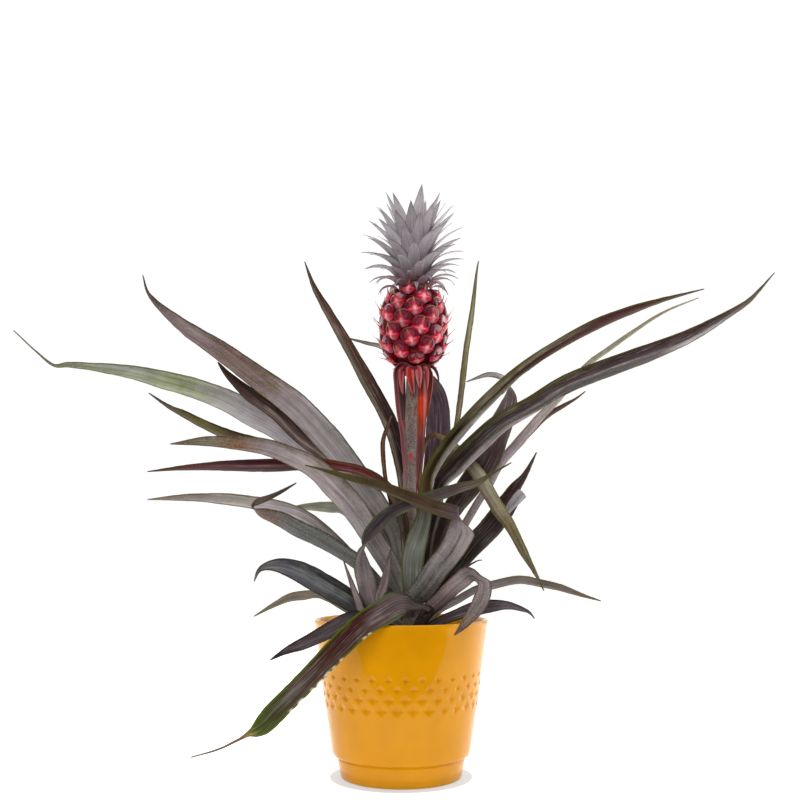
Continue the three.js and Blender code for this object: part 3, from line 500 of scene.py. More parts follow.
# In the table a route goes from the foot in the stem to the tip, as (x, y, z, width seen from the front)
# in millimetres, and a fifth number is the depth of that width. Colours are (share of the length, colour),
# and sides go from -1 to 1 across a leaf. A stripe is (colour, from side, to side, from share, to share,
# strength), a blotch is (colour, from share, to share), and a ragged edge is (from share, to share, depth).
# A hem is (share of the length, share turned in), and a fold is (place on the route, way across there). An
# edge above 1 widens the margin's colour, side_tint is (colour, where it starts), and node names the solid.
LEAVES = [
    dict(name="leaf_left_high", slot="leaf_grey", face=-1, lean=0.6, margin="42381c",
        upper=[(0, "422c23"), (1, "55422f")],
        under=[(0, "636158"), (0.25, "85807c"), (0.42, "9f9496"), (0.56, "a39698"), (0.66, "8b7775"),
            (0.76, "806861"), (0.84, "8f7e7e"), (0.92, "7c6863"), (1, "553f35")],
        blotch=("6c6138", 0.58, 0.74),
        stripes=[("919289", -1, -0.3, 0.34, 0.54, 0.45), ("735555", 0.1, 1, 0.62, 0.9, 0.5),
            ("583a29", -1, -0.5, 0.6, 0.86, 0.5), ("4e4235", 0.6, 1, 0.2, 0.6, 0.4)],
        route=[(8, 0, 128, 9), (1, -9, 152, 10), (-3, -12, 178, 11), (-7, -15, 193, 12.9),
            (-37, -30, 236, 19.1), (-58, -48, 262, 21.1), (-83, -70, 287, 19.8), (-103, -88, 301, 17.2),
            (-131, -112, 320, 13.8), (-158, -132, 337, 8.5), (-177, -144, 355, 2.1), (-180, -150, 367, 0.7)]),
    dict(name="leaf_left_grey", slot="leaf_grey", face=-1, lean=0.6, margin="4c4223",
        upper=[(0, "422f26"), (1, "4e3d2c")],
        under=[(0, "69695c"), (0.3, "8d8585"), (0.6, "a39696"), (0.74, "9c8d8d"), (0.82, "7a5535"),
            (0.9, "7e7561"), (1, "6c613f")],
        stripes=[("6a5a4e", -1, -0.35, 0.4, 0.95, 0.45), ("8d6c4c", -0.2, 0.5, 0.74, 0.86, 0.5)],
        route=[(8, -2, 118, 12), (-1, -14, 145, 15), (-10, -23, 165, 16), (-23, -34, 186, 17),
            (-37, -46, 208, 19.4), (-52, -60, 225, 18.3), (-66, -70, 238, 15.9), (-82, -80, 246, 13.5),
            (-100, -92, 252, 11.8), (-121, -104, 254, 9.4), (-141, -116, 254, 6.4), (-162, -128, 251, 0.7)]),
    dict(name="leaf_right_broad", slot="leaf_dark", face=1, lean=-0.7, margin="444218",
        upper=[(0, "231715"), (0.3, "251714"), (0.45, "2f1919"), (0.7, "32191c"), (0.85, "351715"),
            (1, "513f2f")], under=[(0, "7a7173"), (0.5, "968d8f"), (1, "827a77")],
        hem=[(0.18, 0.12), (0.3, 0.2), (0.42, 0.1), (0.47, 0)],
        # The first two stripes, pale silver, are painted sheen: a highlight along the middle and a sheen
        # towards the tip.
        stripes=[("a69f9f", -0.05, 0.12, 0.3, 0.72, 0.45), ("aba7ab", 0.3, 1, 0.66, 0.88, 0.5),
            ("0d0707", 0.2, 1.1, 0.44, 0.68, 0.85), ("968a8d", 0.58, 1.1, 0.08, 0.42, 0.8),
            ("191111", -0.6, -0.1, 0.5, 0.92, 0.5), ("55552f", -1, -0.6, 0.2, 0.6, 0.5)],
        route=[(8, 0, 134, 8), (16, -14, 155, 10), (21, -19, 185, 11), (27, -21, 208, 11), (31, -22, 229, 12),
            (43, -20, 243, 16.1), (63, -16, 263, 16.2), (81, -10, 279, 15.6), (110, 0, 296, 15),
            (141, 12, 315, 16.9), (178, 26, 331, 17.3), (217, 42, 347, 16.6), (259, 58, 366, 12.8),
            (297, 74, 388, 7.2), (322, 84, 404, 4.5), (334, 90, 415, 2.8), (354, 98, 436, 0.8)]),
    dict(name="leaf_right_arching", slot="leaf_green", face=1, lean=-0.6, margin="514e18",
        upper=[(0, "494e47"), (0.08, "6e736a"), (0.2, "6c6e65"), (0.3, "3a2915"), (0.42, "19100a"),
            (0.65, "381817"), (0.85, "492629"), (1, "4e3232")],
        under=[(0, "7a7573"), (0.5, "8b8582"), (1, "7e7775")],
        hem=[(0.3, 0.2), (0.42, 0.3), (0.56, 0.2), (0.68, 0)],
        # The first stripe, pale olive on the leaf's upper half, is a painted highlight band.
        stripes=[("7c755c", -1, -0.15, 0.44, 0.8, 0.6), ("585529", -1, -0.6, 0.2, 0.5, 0.5)],
        route=[(8, -4, 120, 12), (8, -24, 150, 14, 4), (9, -31, 169, 18, 2), (13, -35, 185, 16),
            (18, -38, 202, 12), (21, -42, 231, 10), (28, -46, 246, 10), (38, -52, 260, 10.1),
            (53, -62, 277, 10), (68, -70, 292, 9.9), (88, -80, 310, 8.3), (113, -92, 326, 8.2),
            (143, -106, 341, 8.8), (169, -118, 350, 6.5), (188, -126, 355, 3.6), (214, -138, 360, 0.7)]),
    dict(name="leaf_front_folded", slot="leaf_grey", face=-1, lean=-0.25, margin="474218",
        upper=[(0, "443535"), (0.5, "5a4951"), (0.56, "4e3d32"), (0.66, "3d2819"), (0.8, "443823"),
            (1, "6a5835")],
        under=[(0, "47423f"), (0.12, "6a6763"), (0.3, "767271"), (0.45, "8b7e7e"), (0.55, "7c6c6a"),
            (1, "55443a")], blotch=("5c3a29", 0.05, 0.2),
        stripes=[("51554e", 0.1, 1, 0.1, 0.3, 0.6), ("8d878b", 0.4, 1, 0.24, 0.44, 0.45),
            ("3d322f", -0.12, 0.08, 0.1, 0.44, 0.65), ("8b7c7e", -0.9, -0.25, 0.28, 0.48, 0.4)],
        fold=[(6, -19.8, -3, 11.4), (7, -12.1, 3, 12.1), (8, -0.8, 2, 11.3), (9, 1.5, 1, 10.9)],
        route=[(8, -3, 114, 14), (9, -21, 136, 17), (17.8, -30, 147.3, 18.9), (28.4, -41, 163.1, 18.6),
            (36, -47, 172.3, 18.5), (41.9, -52, 181.5, 19.1), (46.4, -56, 192.1, 22.9),
            (46.2, -60, 198, 18.2), (43.6, -65, 203.9, -11.3, 2), (36, -67, 205.8, -10.9, 1),
            (24.6, -68.5, 209.1, -10.5, 1), (10.3, -70, 214.7, -9.4, 3), (-4, -72, 220.2, -7.8, 3),
            (-15.2, -74, 224.6, -7.1, 3), (-39, -75, 231, -4.5), (-60, -76, 237, -2), (-72, -77, 240, -0.8)]),
    dict(name="leaf_left_far", slot="leaf_grey", face=-1, lean=0.6, margin="515129",
        upper=[(0, "443526"), (1, "55442c")],
        under=[(0, "58534e"), (0.2, "948d8d"), (0.4, "9a9296"), (0.52, "a39c9f"), (0.62, "9f9f94"),
            (0.68, "9a9f85"), (0.76, "96988b"), (0.86, "8b8b75"), (0.93, "806e55"), (1, "685f49")],
        blotch=("95a65a", 0.58, 0.72),
        stripes=[("7a7373", -1, -0.35, 0.15, 0.6, 0.4), ("8b9c68", -0.1, 0.7, 0.62, 0.92, 0.3)],
        route=[(8, 1, 136, 9), (-3, 3, 158, 12), (-21, -2, 193, 14.7), (-46, -6, 225, 16.3),
            (-74, -12, 253, 17.9), (-99, -18, 273, 18.7), (-122, -24, 285, 18.6), (-138, -28, 294, 17.7),
            (-168, -36, 305, 15.2), (-189, -42, 310, 13.5), (-211, -48, 315, 10.2), (-238, -56, 318, 6.2),
            (-259, -62, 319, 3.9), (-268, -64, 318, 2.3), (-281, -68, 328, 1.2), (-298, -72, 344, 0.8)]),
    dict(name="leaf_front_hanging", slot="leaf_dark", face=1, lean=0.35,
        margin=[(0, "2f291c"), (0.25, "2f291c"), (0.3, "445811"), (0.5, "51630f"), (0.83, "51630f"),
            (0.85, "8b7a49"), (0.86, "584435"), (1, "584435")],
        upper=[(0, "2f2623"), (0.16, "514742"), (0.26, "584c49"), (0.4, "3a1917"), (0.55, "3f2319"),
            (0.66, "4e3f38"), (0.76, "444429"), (0.82, "444e1c"), (0.838, "7c683f"), (0.86, "805c44"),
            (1, "58423a")], under=[(0, "807775"), (1, "877c77")], edge=1.25, ragged=(0.42, 0.74, 0.7),
        stripes=[("8b8280", -0.4, 0.3, 0.3, 0.46, 0.35), ("8b8785", -0.1, 0.4, 0.6, 0.76, 0.35)],
        route=[(8, -6, 108, 10), (19.5, -22, 124.5, 7.2), (23.2, -31, 130.5, 5.5, 3),
            (17.6, -38, 132.9, 4.7, 3), (10.5, -44, 134.4, 5.4, 3), (3.6, -49, 136.9, 13.8, 6),
            (-3.2, -56, 136.2, 19.4, 5), (-12.9, -67, 131.4, 19.5, 3), (-28.7, -80, 122.2, 17.4, 5),
            (-47.1, -88, 105.2, 16.4, 8), (-64.1, -97, 88.1, 15.5), (-78.2, -102, 74.4, 15.1),
            (-86.9, -105, 66.1, 15), (-93.1, -107, 59.6, 14.2), (-98.1, -108, 55.1, 12.1),
            (-102.1, -109, 52.6, 7.8), (-105.5, -109.5, 51.7, 3.5), (-110.2, -110, 48.8, 2),
            (-114.1, -111, 47, 1.7), (-125.4, -113, 42, 1.3), (-144, -115, 37, 0.8)]),
    dict(name="leaf_left_maroon", slot="leaf_maroon", face=1, lean=0.7, margin="443a15",
        upper=[(0, "2c2017"), (0.25, "422f23"), (0.36, "4e201c"), (0.46, "581815"), (0.56, "421818"),
            (0.75, "49232c"), (0.9, "512329"), (1, "421818")], under=[(0, "7a6c6e"), (1, "806e6a")],
        stripes=[("916c6e", -0.02, 0.22, 0.55, 0.95, 0.5), ("2c1113", -1, -0.45, 0.5, 1, 0.6)],
        route=[(8, -1, 146, 6), (4, -11, 176, 8), (1, -18, 201, 8), (-7, -28, 221, 8), (-18, -37, 231, 8),
            (-32, -43, 238, 7.8), (-48, -50, 241, 7.8), (-62, -56, 242, 9.2), (-102, -68, 240, 10.6),
            (-137, -78, 239, 7.5), (-164, -86, 237, 3.7), (-186, -94, 234, 0.7)]),
    dict(name="leaf_left_dark", slot="leaf_dark", face=1, lean=0.7, margin="2f2313",
        upper=[(0, "2f1c18"), (0.35, "42261c"), (0.5, "49322c"), (0.65, "533f3d"), (0.8, "49352c"),
            (1, "3a1914")], under=[(0, "7a7173"), (1, "827a77")],
        stripes=[("96877f", -0.35, 0.05, 0.4, 0.85, 0.5), ("23130f", 0.5, 1, 0.3, 1, 0.5)],
        route=[(8, 0, 140, 6), (-6, -3, 169, 8), (-32, -11, 217, 11.4), (-49, -20, 240, 11.3),
            (-63, -30, 253, 11.2), (-79, -40, 264, 11), (-98, -54, 282, 10.9), (-118, -66, 296, 10),
            (-133, -76, 310, 4.6), (-139, -80, 318, 0.8)]),
    dict(name="leaf_left_green", slot="leaf_green", face=1, lean=0.7, margin="231c0d",
        upper=[(0, "2c2014"), (0.3, "443a14"), (0.5, "535810"), (0.66, "3d350f"), (0.8, "51490f"),
            (1, "2f1c0b")], under=[(0, "736e61"), (1, "7c7765")],
        stripes=[("422014", 0.25, 1, 0.3, 0.8, 0.7), ("6a7c10", -0.8, 0.2, 0.48, 0.64, 0.6)],
        route=[(8, 2, 132, 6), (-13, 12, 176, 8.3), (-52, 24, 227, 9.3), (-96, 40, 258, 10.4),
            (-153, 62, 277, 9.8), (-178, 72, 288, 8.1), (-199, 80, 299, 6.4), (-213, 86, 306, 3.7),
            (-234, 94, 320, 0.9)]),
    dict(name="leaf_twisted", slot="leaf_grey", face=-1, lean=0.4, margin="475126",
        upper=[(0, "352619"), (0.35, "382f35"), (0.6, "3d3235"), (0.8, "47383a"), (0.9, "635142"),
            (1, "5f5332")],
        under=[(0, "322926"), (0.1, "82777a"), (0.25, "8b7c7e"), (0.35, "73686a"), (1, "685c55")],
        route=[(8, -4, 110, 9), (-22, -24, 134, 14), (-28, -36, 154, 16), (-31, -43, 170, 10, -7),
            (-30, -47, 179, 1, -12), (-26, -50, 187, -9, -8), (-19, -53, 195, -11, -5),
            (-8, -56, 205, -10.5, -4), (8, -58, 212, -9, -4), (30, -60, 219, -9, -4), (45, -61, 224, -8, -3),
            (59, -62, 228, -5, -2), (68, -63, 234, -2.3), (84, -64, 243, -0.8)]),
    dict(name="leaf_right_wide", slot="leaf_dark", face=1, lean=-0.45, margin="514e1c",
        upper=[(0, "292019"), (0.3, "2f201c"), (0.55, "3d2929"), (0.8, "49383a"), (1, "5a4c4c")],
        under=[(0, "7a6e73"), (0.8, "92878d"), (1, "9a9298")],
        route=[(8, 0, 142, 7), (19, -4, 166, 9), (28, -2, 182, 11), (36, 2, 198, 13.1), (45, 7, 213, 16.6),
            (58, 13, 230, 20.1), (73, 20, 252, 22), (82, 30, 274, 21.5), (91, 40, 293, 17.4),
            (96, 49, 309, 11.5, -10), (95, 58, 323, -3.6, -10), (92, 63, 329, -6.3, -3),
            (80, 68, 333, -4.5, 2), (59, 72, 327, -0.9)]),
    dict(name="leaf_spear", slot="leaf_dark", face=1, lean=-0.4, margin="423a20",
        upper=[(0, "130d0b"), (0.35, "20170c"), (0.55, "20100b"), (0.75, "2c1310"), (0.88, "381c17"),
            (1, "2f1811")], under=[(0, "87827a"), (1, "99938b")],
        route=[(8, 2, 116, 6), (32, 4, 144, 7), (45, 10, 159, 8.2), (62, 22, 181, 16.8), (78, 36, 197, 18.8),
            (93, 48, 217, 17.4), (100, 56, 230, 9.7), (109, 62, 241, 5.3), (122, 74, 263, 0.9)]),
    dict(name="leaf_drooping", slot="leaf_green", face=-1, lean=-0.4, margin="515123",
        upper=[(0, "4e3f2c"), (1, "584c38")],
        under=[(0, "473529"), (0.3, "552f29"), (0.42, "683d2f"), (0.5, "80745a"), (0.65, "807765"),
            (0.8, "6a5c3a"), (1, "51442c")],
        stripes=[("584223", -1, -0.55, 0.45, 1, 0.5), ("a39c85", 0, 0.5, 0.5, 0.8, 0.3)],
        route=[(8, 3, 150, 5), (11, 12, 185, 6), (14, 14, 226, 6), (17, 13, 256, 5), (22, 10, 269, 4.2),
            (29, 5, 271, 4.2), (38, 0, 266, 5), (48, -4, 257, 6.6), (56, -10, 246, 9.8), (62, -18, 237, 11.3),
            (69, -32, 222, 10.3), (77, -48, 205, 10.1), (82, -56, 197, 8.4), (91, -72, 176, 6),
            (99, -86, 158, 2.2), (103, -92, 148, 0.7)]),
    dict(name="leaf_upright_thin", slot="leaf_green", face=1, lean=-0.5, margin="514e18",
        upper=[(0, "635a58"), (0.4, "685c55"), (0.6, "7c715a"), (0.75, "807c5c"), (1, "6a6149")],
        under=[(0, "756e6a"), (1, "827e65")],
        stripes=[("444223", -1, -0.35, 0, 1, 0.6), ("a3a373", 0.3, 0.85, 0.5, 0.92, 0.4)],
        route=[(9, 2, 146, 5), (15, 6, 172, 6), (24, 12, 201, 5.8), (39, 22, 243, 4.7), (48, 36, 283, 4.2),
            (52, 46, 306, 5), (59, 66, 355, 5.4), (66, 84, 395, 4.5), (72, 100, 438, 1.9),
            (74, 104, 449, 1)]),
    dict(name="leaf_right_curled", slot="leaf_grey", face=-1, lean=-0.5, margin="493a2c",
        upper=[(0, "423532"), (1, "4e3f42")],
        under=[(0, "2f2320"), (0.2, "473a3a"), (0.32, "7a6563"), (0.44, "8f7e7c"), (0.51, "8f8280"),
            (0.56, "5f5558"), (0.66, "7c7171"), (0.82, "6a5f5c"), (0.9, "6c5849"), (1, "3d2f2c")],
        stripes=[("3f352f", -1, 1, 0.49, 0.57, 0.6), ("3d352f", -0.15, 0.15, 0.2, 0.5, 0.4),
            ("8b8080", 0.1, 0.8, 0.58, 0.8, 0.35)],
        fold=[(5, -6.9, -4, 13.1), (6, -0.8, -7, 10), (7, 2.3, -7, 4.6), (8, 9.9, -3, 3.8),
            (9, 11.7, -2, 2.3)],
        route=[(8, -5, 106, 8), (22.6, -26, 130.2, 11.1), (31, -32, 138.2, 12.6), (39.3, -38, 146.9, 13.6),
            (46.8, -43, 153.6, 14.3), (51.6, -47, 157.9, 13.9), (55.9, -51, 157.4, 10),
            (58.5, -54, 154.9, 3.8), (62.2, -58, 152.6, 10.3, -2), (62.2, -61, 146.8, 12, -2),
            (58.9, -64, 138.5, 11.3, -2), (54, -68, 131.4, 9.8), (47.7, -73, 124.5, 6.7),
            (42.7, -76, 119, 3.3), (38.9, -78, 115.6, 0.8)]),
    dict(name="leaf_left_creased", slot="leaf_grey", face=-1, lean=0.55, margin="423523",
        upper=[(0, "3f352f"), (1, "53423a")],
        under=[(0, "494942"), (0.3, "6a6a65"), (0.6, "656865"), (0.74, "6e5c55"), (0.85, "6e615c"),
            (1, "472f2c")], blotch=("7c5126", 0.66, 0.8),
        route=[(8, -2, 122, 8), (-21, -18, 153, 9.5), (-35, -26, 167, 11.8), (-48, -34, 176, 12.5),
            (-63, -43, 185, 13.2), (-78, -52, 192, 13), (-92, -61, 200, 11.4), (-105, -69, 205, 7.5, 6),
            (-111, -75, 209, -2.2, 8), (-106, -80, 213, -5.2, 4), (-97, -84, 216, -3.7, 2),
            (-86, -88, 221, -2.2), (-77, -91, 226, -0.7)]),
    dict(name="leaf_left_level", slot="leaf_green", face=1, lean=0.8, margin="584923",
        upper=[(0, "555142"), (0.25, "6a6561"), (0.4, "87807c"), (0.58, "9c9494"), (0.72, "8f8785"),
            (0.82, "7c736e"), (1, "7c7368")], under=[(0, "7a776e"), (1, "857c73")],
        stripes=[("8d8f71", -1, 1, 0.6, 0.76, 0.4)],
        route=[(8, 1, 118, 6), (-17, 1, 145, 8), (-42, 3, 172, 8.2), (-63, 6, 191, 9.9), (-81, 10, 204, 10),
            (-101, 14, 211, 10.8), (-123, 18, 215, 10.9), (-144, 22, 218, 10.1), (-170, 26, 220, 7.6),
            (-195, 30, 220, 4.3), (-217, 34, 219, 0.9)]),
    dict(name="leaf_back_left", slot="leaf_green", face=1, lean=0.6, margin="7c7c58",
        upper=[(0, "424235"), (0.5, "6c6e5f"), (1, "757767")], under=[(0, "7a7c71"), (1, "87897c")],
        route=[(8, 4, 126, 7), (-9, 22, 168, 8.4), (-31, 34, 193, 10.2), (-49, 46, 211, 10.4),
            (-62, 56, 213, 9.6), (-76, 66, 214, 8), (-91, 76, 214, 4.5), (-100, 82, 214, 0.9)]),
    dict(name="leaf_left_low", slot="leaf_dark", face=1, lean=0.35, margin="2f2f18",
        upper=[(0, "2f2f35"), (0.3, "444447"), (0.5, "4e4e51"), (0.8, "6a686e"), (1, "6a6365")],
        under=[(0, "6a6565"), (1, "7c7575")],
        stripes=[("8d938f", -0.25, 0.4, 0.35, 0.8, 0.4), ("1c1c19", 0.45, 1.1, 0.1, 0.85, 0.6)],
        route=[(8, -2, 108, 9), (-13, -9, 118, 10), (-29, -20, 128, 11.8), (-41, -29, 138, 15.7),
            (-55, -38, 147, 17), (-68, -47, 155, 16.9), (-79, -55, 161, 15.2), (-91, -62, 165, 11.3),
            (-100, -67, 165, 6.7), (-106, -71, 162, 3), (-109, -74, 154, 0.7)]),
    dict(name="leaf_left_low_small", slot="leaf_green", face=1, lean=0.8, margin="6a613a",
        upper=[(0, "423a32"), (0.5, "71655c"), (1, "6e6351")], under=[(0, "73685c"), (1, "7c7161")],
        route=[(8, 2, 106, 5), (-17, 2, 118, 5), (-42, 6, 127, 4.9), (-58, 10, 136, 4.9), (-69, 14, 140, 5.8),
            (-80, 18, 139, 7.5), (-93, 22, 137, 6.7), (-108, 28, 130, 3.8), (-124, 34, 121, 0.8)]),
    dict(name="leaf_left_rim", slot="leaf_dark", face=1, lean=0.4, margin="231c18",
        upper=[(0, "231c19"), (0.4, "3d3532"), (0.8, "473a3d"), (1, "35232c")],
        under=[(0, "6e686a"), (1, "7a7173")],
        route=[(8, -3, 107, 8), (-11.9, -25, 115.5, 9.5, 8), (-27, -44, 123.1, 10.8, 11),
            (-37.2, -56, 124.7, 11.4, 13), (-45.8, -63, 121.2, 11.7, 12), (-58.6, -70, 114.9, 10.8, 8),
            (-72.8, -76, 108.6, 8.2, 4), (-83.3, -80, 104.7, 5.2, 2), (-95, -84, 98.4, 0.7)]),
    dict(name="leaf_right_low_long", slot="leaf_dark", face=1, lean=-0.9, margin="685c23",
        upper=[(0, "51493f"), (0.12, "80776c"), (0.25, "80777c"), (0.45, "686163"), (0.7, "534949"),
            (1, "493a3f")], under=[(0, "7c7375"), (1, "857c7c")],
        route=[(8, -2, 105, 5), (29, -10, 128, 5.6), (44, -8, 136, 5.6), (59, -4, 144, 5.7),
            (74, 0, 148, 6.5), (97, 8, 152, 6.6), (115, 14, 149, 6.6), (133, 20, 145, 5.8),
            (151, 26, 139, 3.3), (168, 32, 134, 0.8)]),
    dict(name="leaf_right_low_dark", slot="leaf_dark", face=1, lean=-0.5, margin="322f18",
        upper=[(0, "1c1919"), (0.3, "423838"), (0.6, "55494c"), (1, "615a63")],
        under=[(0, "585151"), (1, "655c5c")],
        route=[(8, -3, 107, 6), (31, -20, 121, 7.1), (42, -26, 126, 7.8), (56, -34, 131, 10.9),
            (69, -42, 134, 9.2), (81, -49, 135, 6.1), (90, -54, 133, 3.8), (97, -58, 130, 1.9),
            (100, -60, 126, 0.8)]),
    dict(name="leaf_back_dark", slot="leaf_dark", face=1, lean=0.3, margin="2f2310",
        upper=[(0, "18100d"), (0.3, "190d0c"), (0.5, "29150f"), (0.7, "422917"), (0.85, "442319"),
            (1, "351815")], under=[(0, "6a5f58"), (1, "7a6e65")], side_tint=("554935", 0.25),
        route=[(8, 3, 138, 8), (6, 18, 185, 10), (5, 26, 218, 11.9), (-1, 38, 258, 13.8),
            (-11, 50, 289, 13.2), (-29.5, 64, 325, 13), (-48.5, 80, 361, 10.6), (-69.5, 96, 399, 8.2),
            (-82.5, 104, 423, 4.9), (-93, 114, 451, 1)]),
    dict(name="leaf_back_purple", slot="leaf_dark", face=1, lean=-0.25, margin="51493f",
        upper=[(0, "231718"), (0.35, "3a292f"), (0.6, "53424e"), (0.85, "7a7365"), (1, "7c756a")],
        under=[(0, "7a6e73"), (1, "85807a")],
        route=[(9, 4, 130, 9), (17, 16, 156, 11), (21.5, 28, 202, 15.5), (29.5, 40, 245, 20.5),
            (33, 52, 281, 22), (31, 64, 314, 18), (17, 74, 336, 12.7, -3), (-1, 82, 354, 8.3, 1),
            (-20, 88, 363, 4.6, 3), (-33, 92, 367, 3.3), (-52, 97, 373, 0.9)]),
    dict(name="leaf_right_thin", slot="leaf_grey", face=-1, lean=-0.6, margin="736544",
        upper=[(0, "443535"), (1, "584742")],
        under=[(0, "685a5c"), (0.4, "8b7c80"), (0.58, "89807a"), (0.7, "77715c"), (1, "85826a")],
        route=[(9, 3, 122, 5), (41, 18, 176, 6.7), (56, 26, 201, 6.8), (66, 32, 217, 6.8), (77, 40, 233, 6),
            (87, 50, 251, 7.9), (105, 62, 271, 8.9), (127, 76, 296, 7.3), (135, 80, 304, 7.3),
            (157, 92, 327, 5.6), (174, 100, 347, 4.7), (198, 110, 365, 4.7), (220, 118, 381, 3.8),
            (256, 132, 405, 2.4), (295, 145, 423, 1)]),
    dict(name="leaf_right_narrow", slot="leaf_maroon", face=1, lean=-0.6, margin="443a18",
        upper=[(0, "2f1918"), (0.5, "3f1715"), (1, "441815")], under=[(0, "736368"), (1, "7a6a6a")],
        route=[(9, 4, 112, 5), (28, 24, 152, 5), (50, 38, 189, 4.3), (69, 52, 219, 4.4), (83, 64, 242, 4),
            (99, 74, 262, 4.1), (120, 86, 284, 4.6), (135, 94, 299, 5.5), (150, 100, 308, 4.2),
            (165, 106, 317, 1.9), (174, 110, 324, 0.9)]),
    dict(name="leaf_stalk_side", slot="leaf_maroon", face=1, lean=0.5, margin="3f2c13",
        upper=[(0, "231c17"), (0.4, "3f2c18"), (0.6, "684935"), (0.75, "825c49"), (1, "8b6a61")],
        under=[(0, "58422f"), (1, "8b635c")],
        route=[(7, 1, 154, 4), (-1, 4, 178, 4), (-3, 2, 195, 3.5), (-9, 0, 217, 3.3), (-13, -2, 235, 3.3),
            (-15, -3, 254, 3.7), (-15, -3, 266, 3.7), (-12, -2, 276, 3), (-8, 0, 287, 0.8)]),
    dict(name="leaf_shoot_near", slot="leaf_maroon", face=-1, lean=0.2, margin="55473f",
        upper=[(0, "443532"), (1, "55423f")],
        under=[(0, "473d3d"), (0.4, "867777"), (0.6, "8b7a7a"), (0.85, "6a5a58"), (1, "3a292c")],
        route=[(7, -4, 109, 7), (-12, -21, 122, 8), (-17, -32, 140, 8.2), (-14, -36, 148, 7.8),
            (-10, -38, 166, 5), (-8, -38, 178, 0.8)]),
    dict(name="leaf_shoot_left", slot="leaf_maroon", face=-1, lean=0.3, margin="55443f",
        upper=[(0, "3a2c29"), (1, "55423f")],
        under=[(0, "5a5353"), (0.4, "9c8b89"), (0.7, "978785"), (0.9, "8b7a7c"), (1, "554947")],
        route=[(7, -4, 112, 6), (-24, -19, 118, 6.5), (-31, -28, 129, 6.3), (-34, -32, 138, 5.8),
            (-38, -34, 149, 4), (-42, -34, 160, 2.3), (-45, -33, 168, 0.8)]),
    dict(name="leaf_spear_underside", slot="leaf_grey", face=-1, lean=0, margin="807c77",
        upper=[(0, "2c2323"), (1, "423a3a")], under=[(0, "686365"), (0.5, "8b8789"), (1, "9f9c9f")],
        node="leaf_spear",
        route=[(85.9, 33, 202.5, 1.7), (91.7, 38, 210.2, 6), (98.3, 42, 218.1, 8.6), (102.1, 45, 222.1, 9.5),
            (105.7, 47, 225.4, 9.1)]),
    dict(name="leaf_curled_dry_tip", slot="leaf_maroon", face=-1, lean=0, margin="422f23",
        upper=[(0, "42261c"), (1, "2f1c18")], under=[(0, "553529"), (1, "352319")], node="leaf_right_curled",
        route=[(47.5, -46, 160.9, 1.5), (51.3, -47, 164.7, 1.7), (55.1, -48, 167, 1.2),
            (58.9, -49, 168.9, 0.9), (61.9, -50, 169.3, 0.7)]),
]
LEAF_THICKNESS = 0.9
CHANNEL = 0.16  # how deep the channel is, as a share of the leaf's width
ROW_LENGTH = 2.6
ACROSS = 13
NARROWEST = 0.35
NO_LENGTH = 1e-6
RIPPLE, RIPPLE_LENGTH = 0.35, 14
UNEVEN, UNEVEN_LENGTH = 0.25, 5
EDGE_ON_DEEPER = 1.6  # a leaf that is seen edge-on has a deeper channel
LEAST_HEM = 0.01
TEAR_LENGTH, DRY_TEAR = 3.2, 0.25


def held(value, low=0, high=1):
    return min(high, max(low, value))


def smooth_path(route, steps):
    """Points and directions along a centripetal curve through the route's points."""
    knots = np.array([point[:3] for point in route], float)
    knots = np.vstack([2 * knots[0] - knots[1], knots, 2 * knots[-1] - knots[-2]])
    found, directions = [], []
    for at in steps:
        i = min(int(at), len(knots) - 4)
        t = at - i
        p0, p1, p2, p3 = knots[i : i + 4]
        legs = (p1 - p0, p2 - p1, p3 - p2)
        d0, d1, d2 = (max(float(np.linalg.norm(leg)) ** 0.5, 1e-4) for leg in legs)
        m1 = ((p1 - p0) / d0 - (p2 - p0) / (d0 + d1) + (p2 - p1) / d1) * d1
        m2 = ((p2 - p1) / d1 - (p3 - p1) / (d1 + d2) + (p3 - p2) / d2) * d1
        c2, c3 = -3 * p1 + 3 * p2 - 2 * m1 - m2, 2 * p1 - 2 * p2 + m1 + m2
        found.append(p1 + m1 * t + c2 * t * t + c3 * t**3)
        direction = m1 + 2 * c2 * t + 3 * c3 * t * t
        directions.append(direction / np.linalg.norm(direction))
    return np.array(found), np.array(directions)


def softened(values, reach):
    """Values with their corners eased, their ends kept."""
    weights = np.hanning(2 * reach + 3)[1:-1]
    padded = np.pad(values, [(reach, reach)] + [(0, 0)] * (values.ndim - 1), mode="edge")
    eased = sum(w * padded[i : i + len(values)] for i, w in enumerate(weights)) / weights.sum()
    eased[0], eased[-1] = values[0], values[-1]
    return eased


def lengths(ways, least):
    """The length of each row's vector, and never less than the least."""
    return np.maximum(np.linalg.norm(ways, axis=1), least)


def tints(stops, along):
    """The colours at places from 0 to 1, from (place, code) stops."""
    places = [at for at, _ in stops]
    codes = np.array([shade(code) for _, code in stops])
    return np.stack([np.interp(along, places, codes[:, i]) for i in range(4)], axis=1)


def stained(colour, code, share):
    return colour * (1 - share) + np.array(shade(code)) * share


def strip_faces(start, rows, columns, turned_over=False):
    """Faces of a closed strip of rows. Each row has the points of one side, and then those of the other."""
    faces, pair = [], 2 * columns
    for a in range(start, start + (rows - 1) * pair, pair):
        b = a + pair
        for j in range(columns - 1):
            faces.append((a + j, b + j, b + j + 1, a + j + 1))
            faces.append((a + columns + j, a + columns + j + 1, b + columns + j + 1, b + columns + j))
        faces.append((a, a + columns, b + columns, b))
        faces.append((a + columns - 1, b + columns - 1, b + pair - 1, a + pair - 1))
    if turned_over:
        faces = [(p, s, r, q) for p, q, r, s in faces]
    for a, far_end in ((start, False), (start + (rows - 1) * pair, True)):
        for j in range(columns - 1):
            end = (a + j, a + j + 1, a + columns + j + 1, a + columns + j)
            faces.append(end[::-1] if far_end != turned_over else end)
    return faces


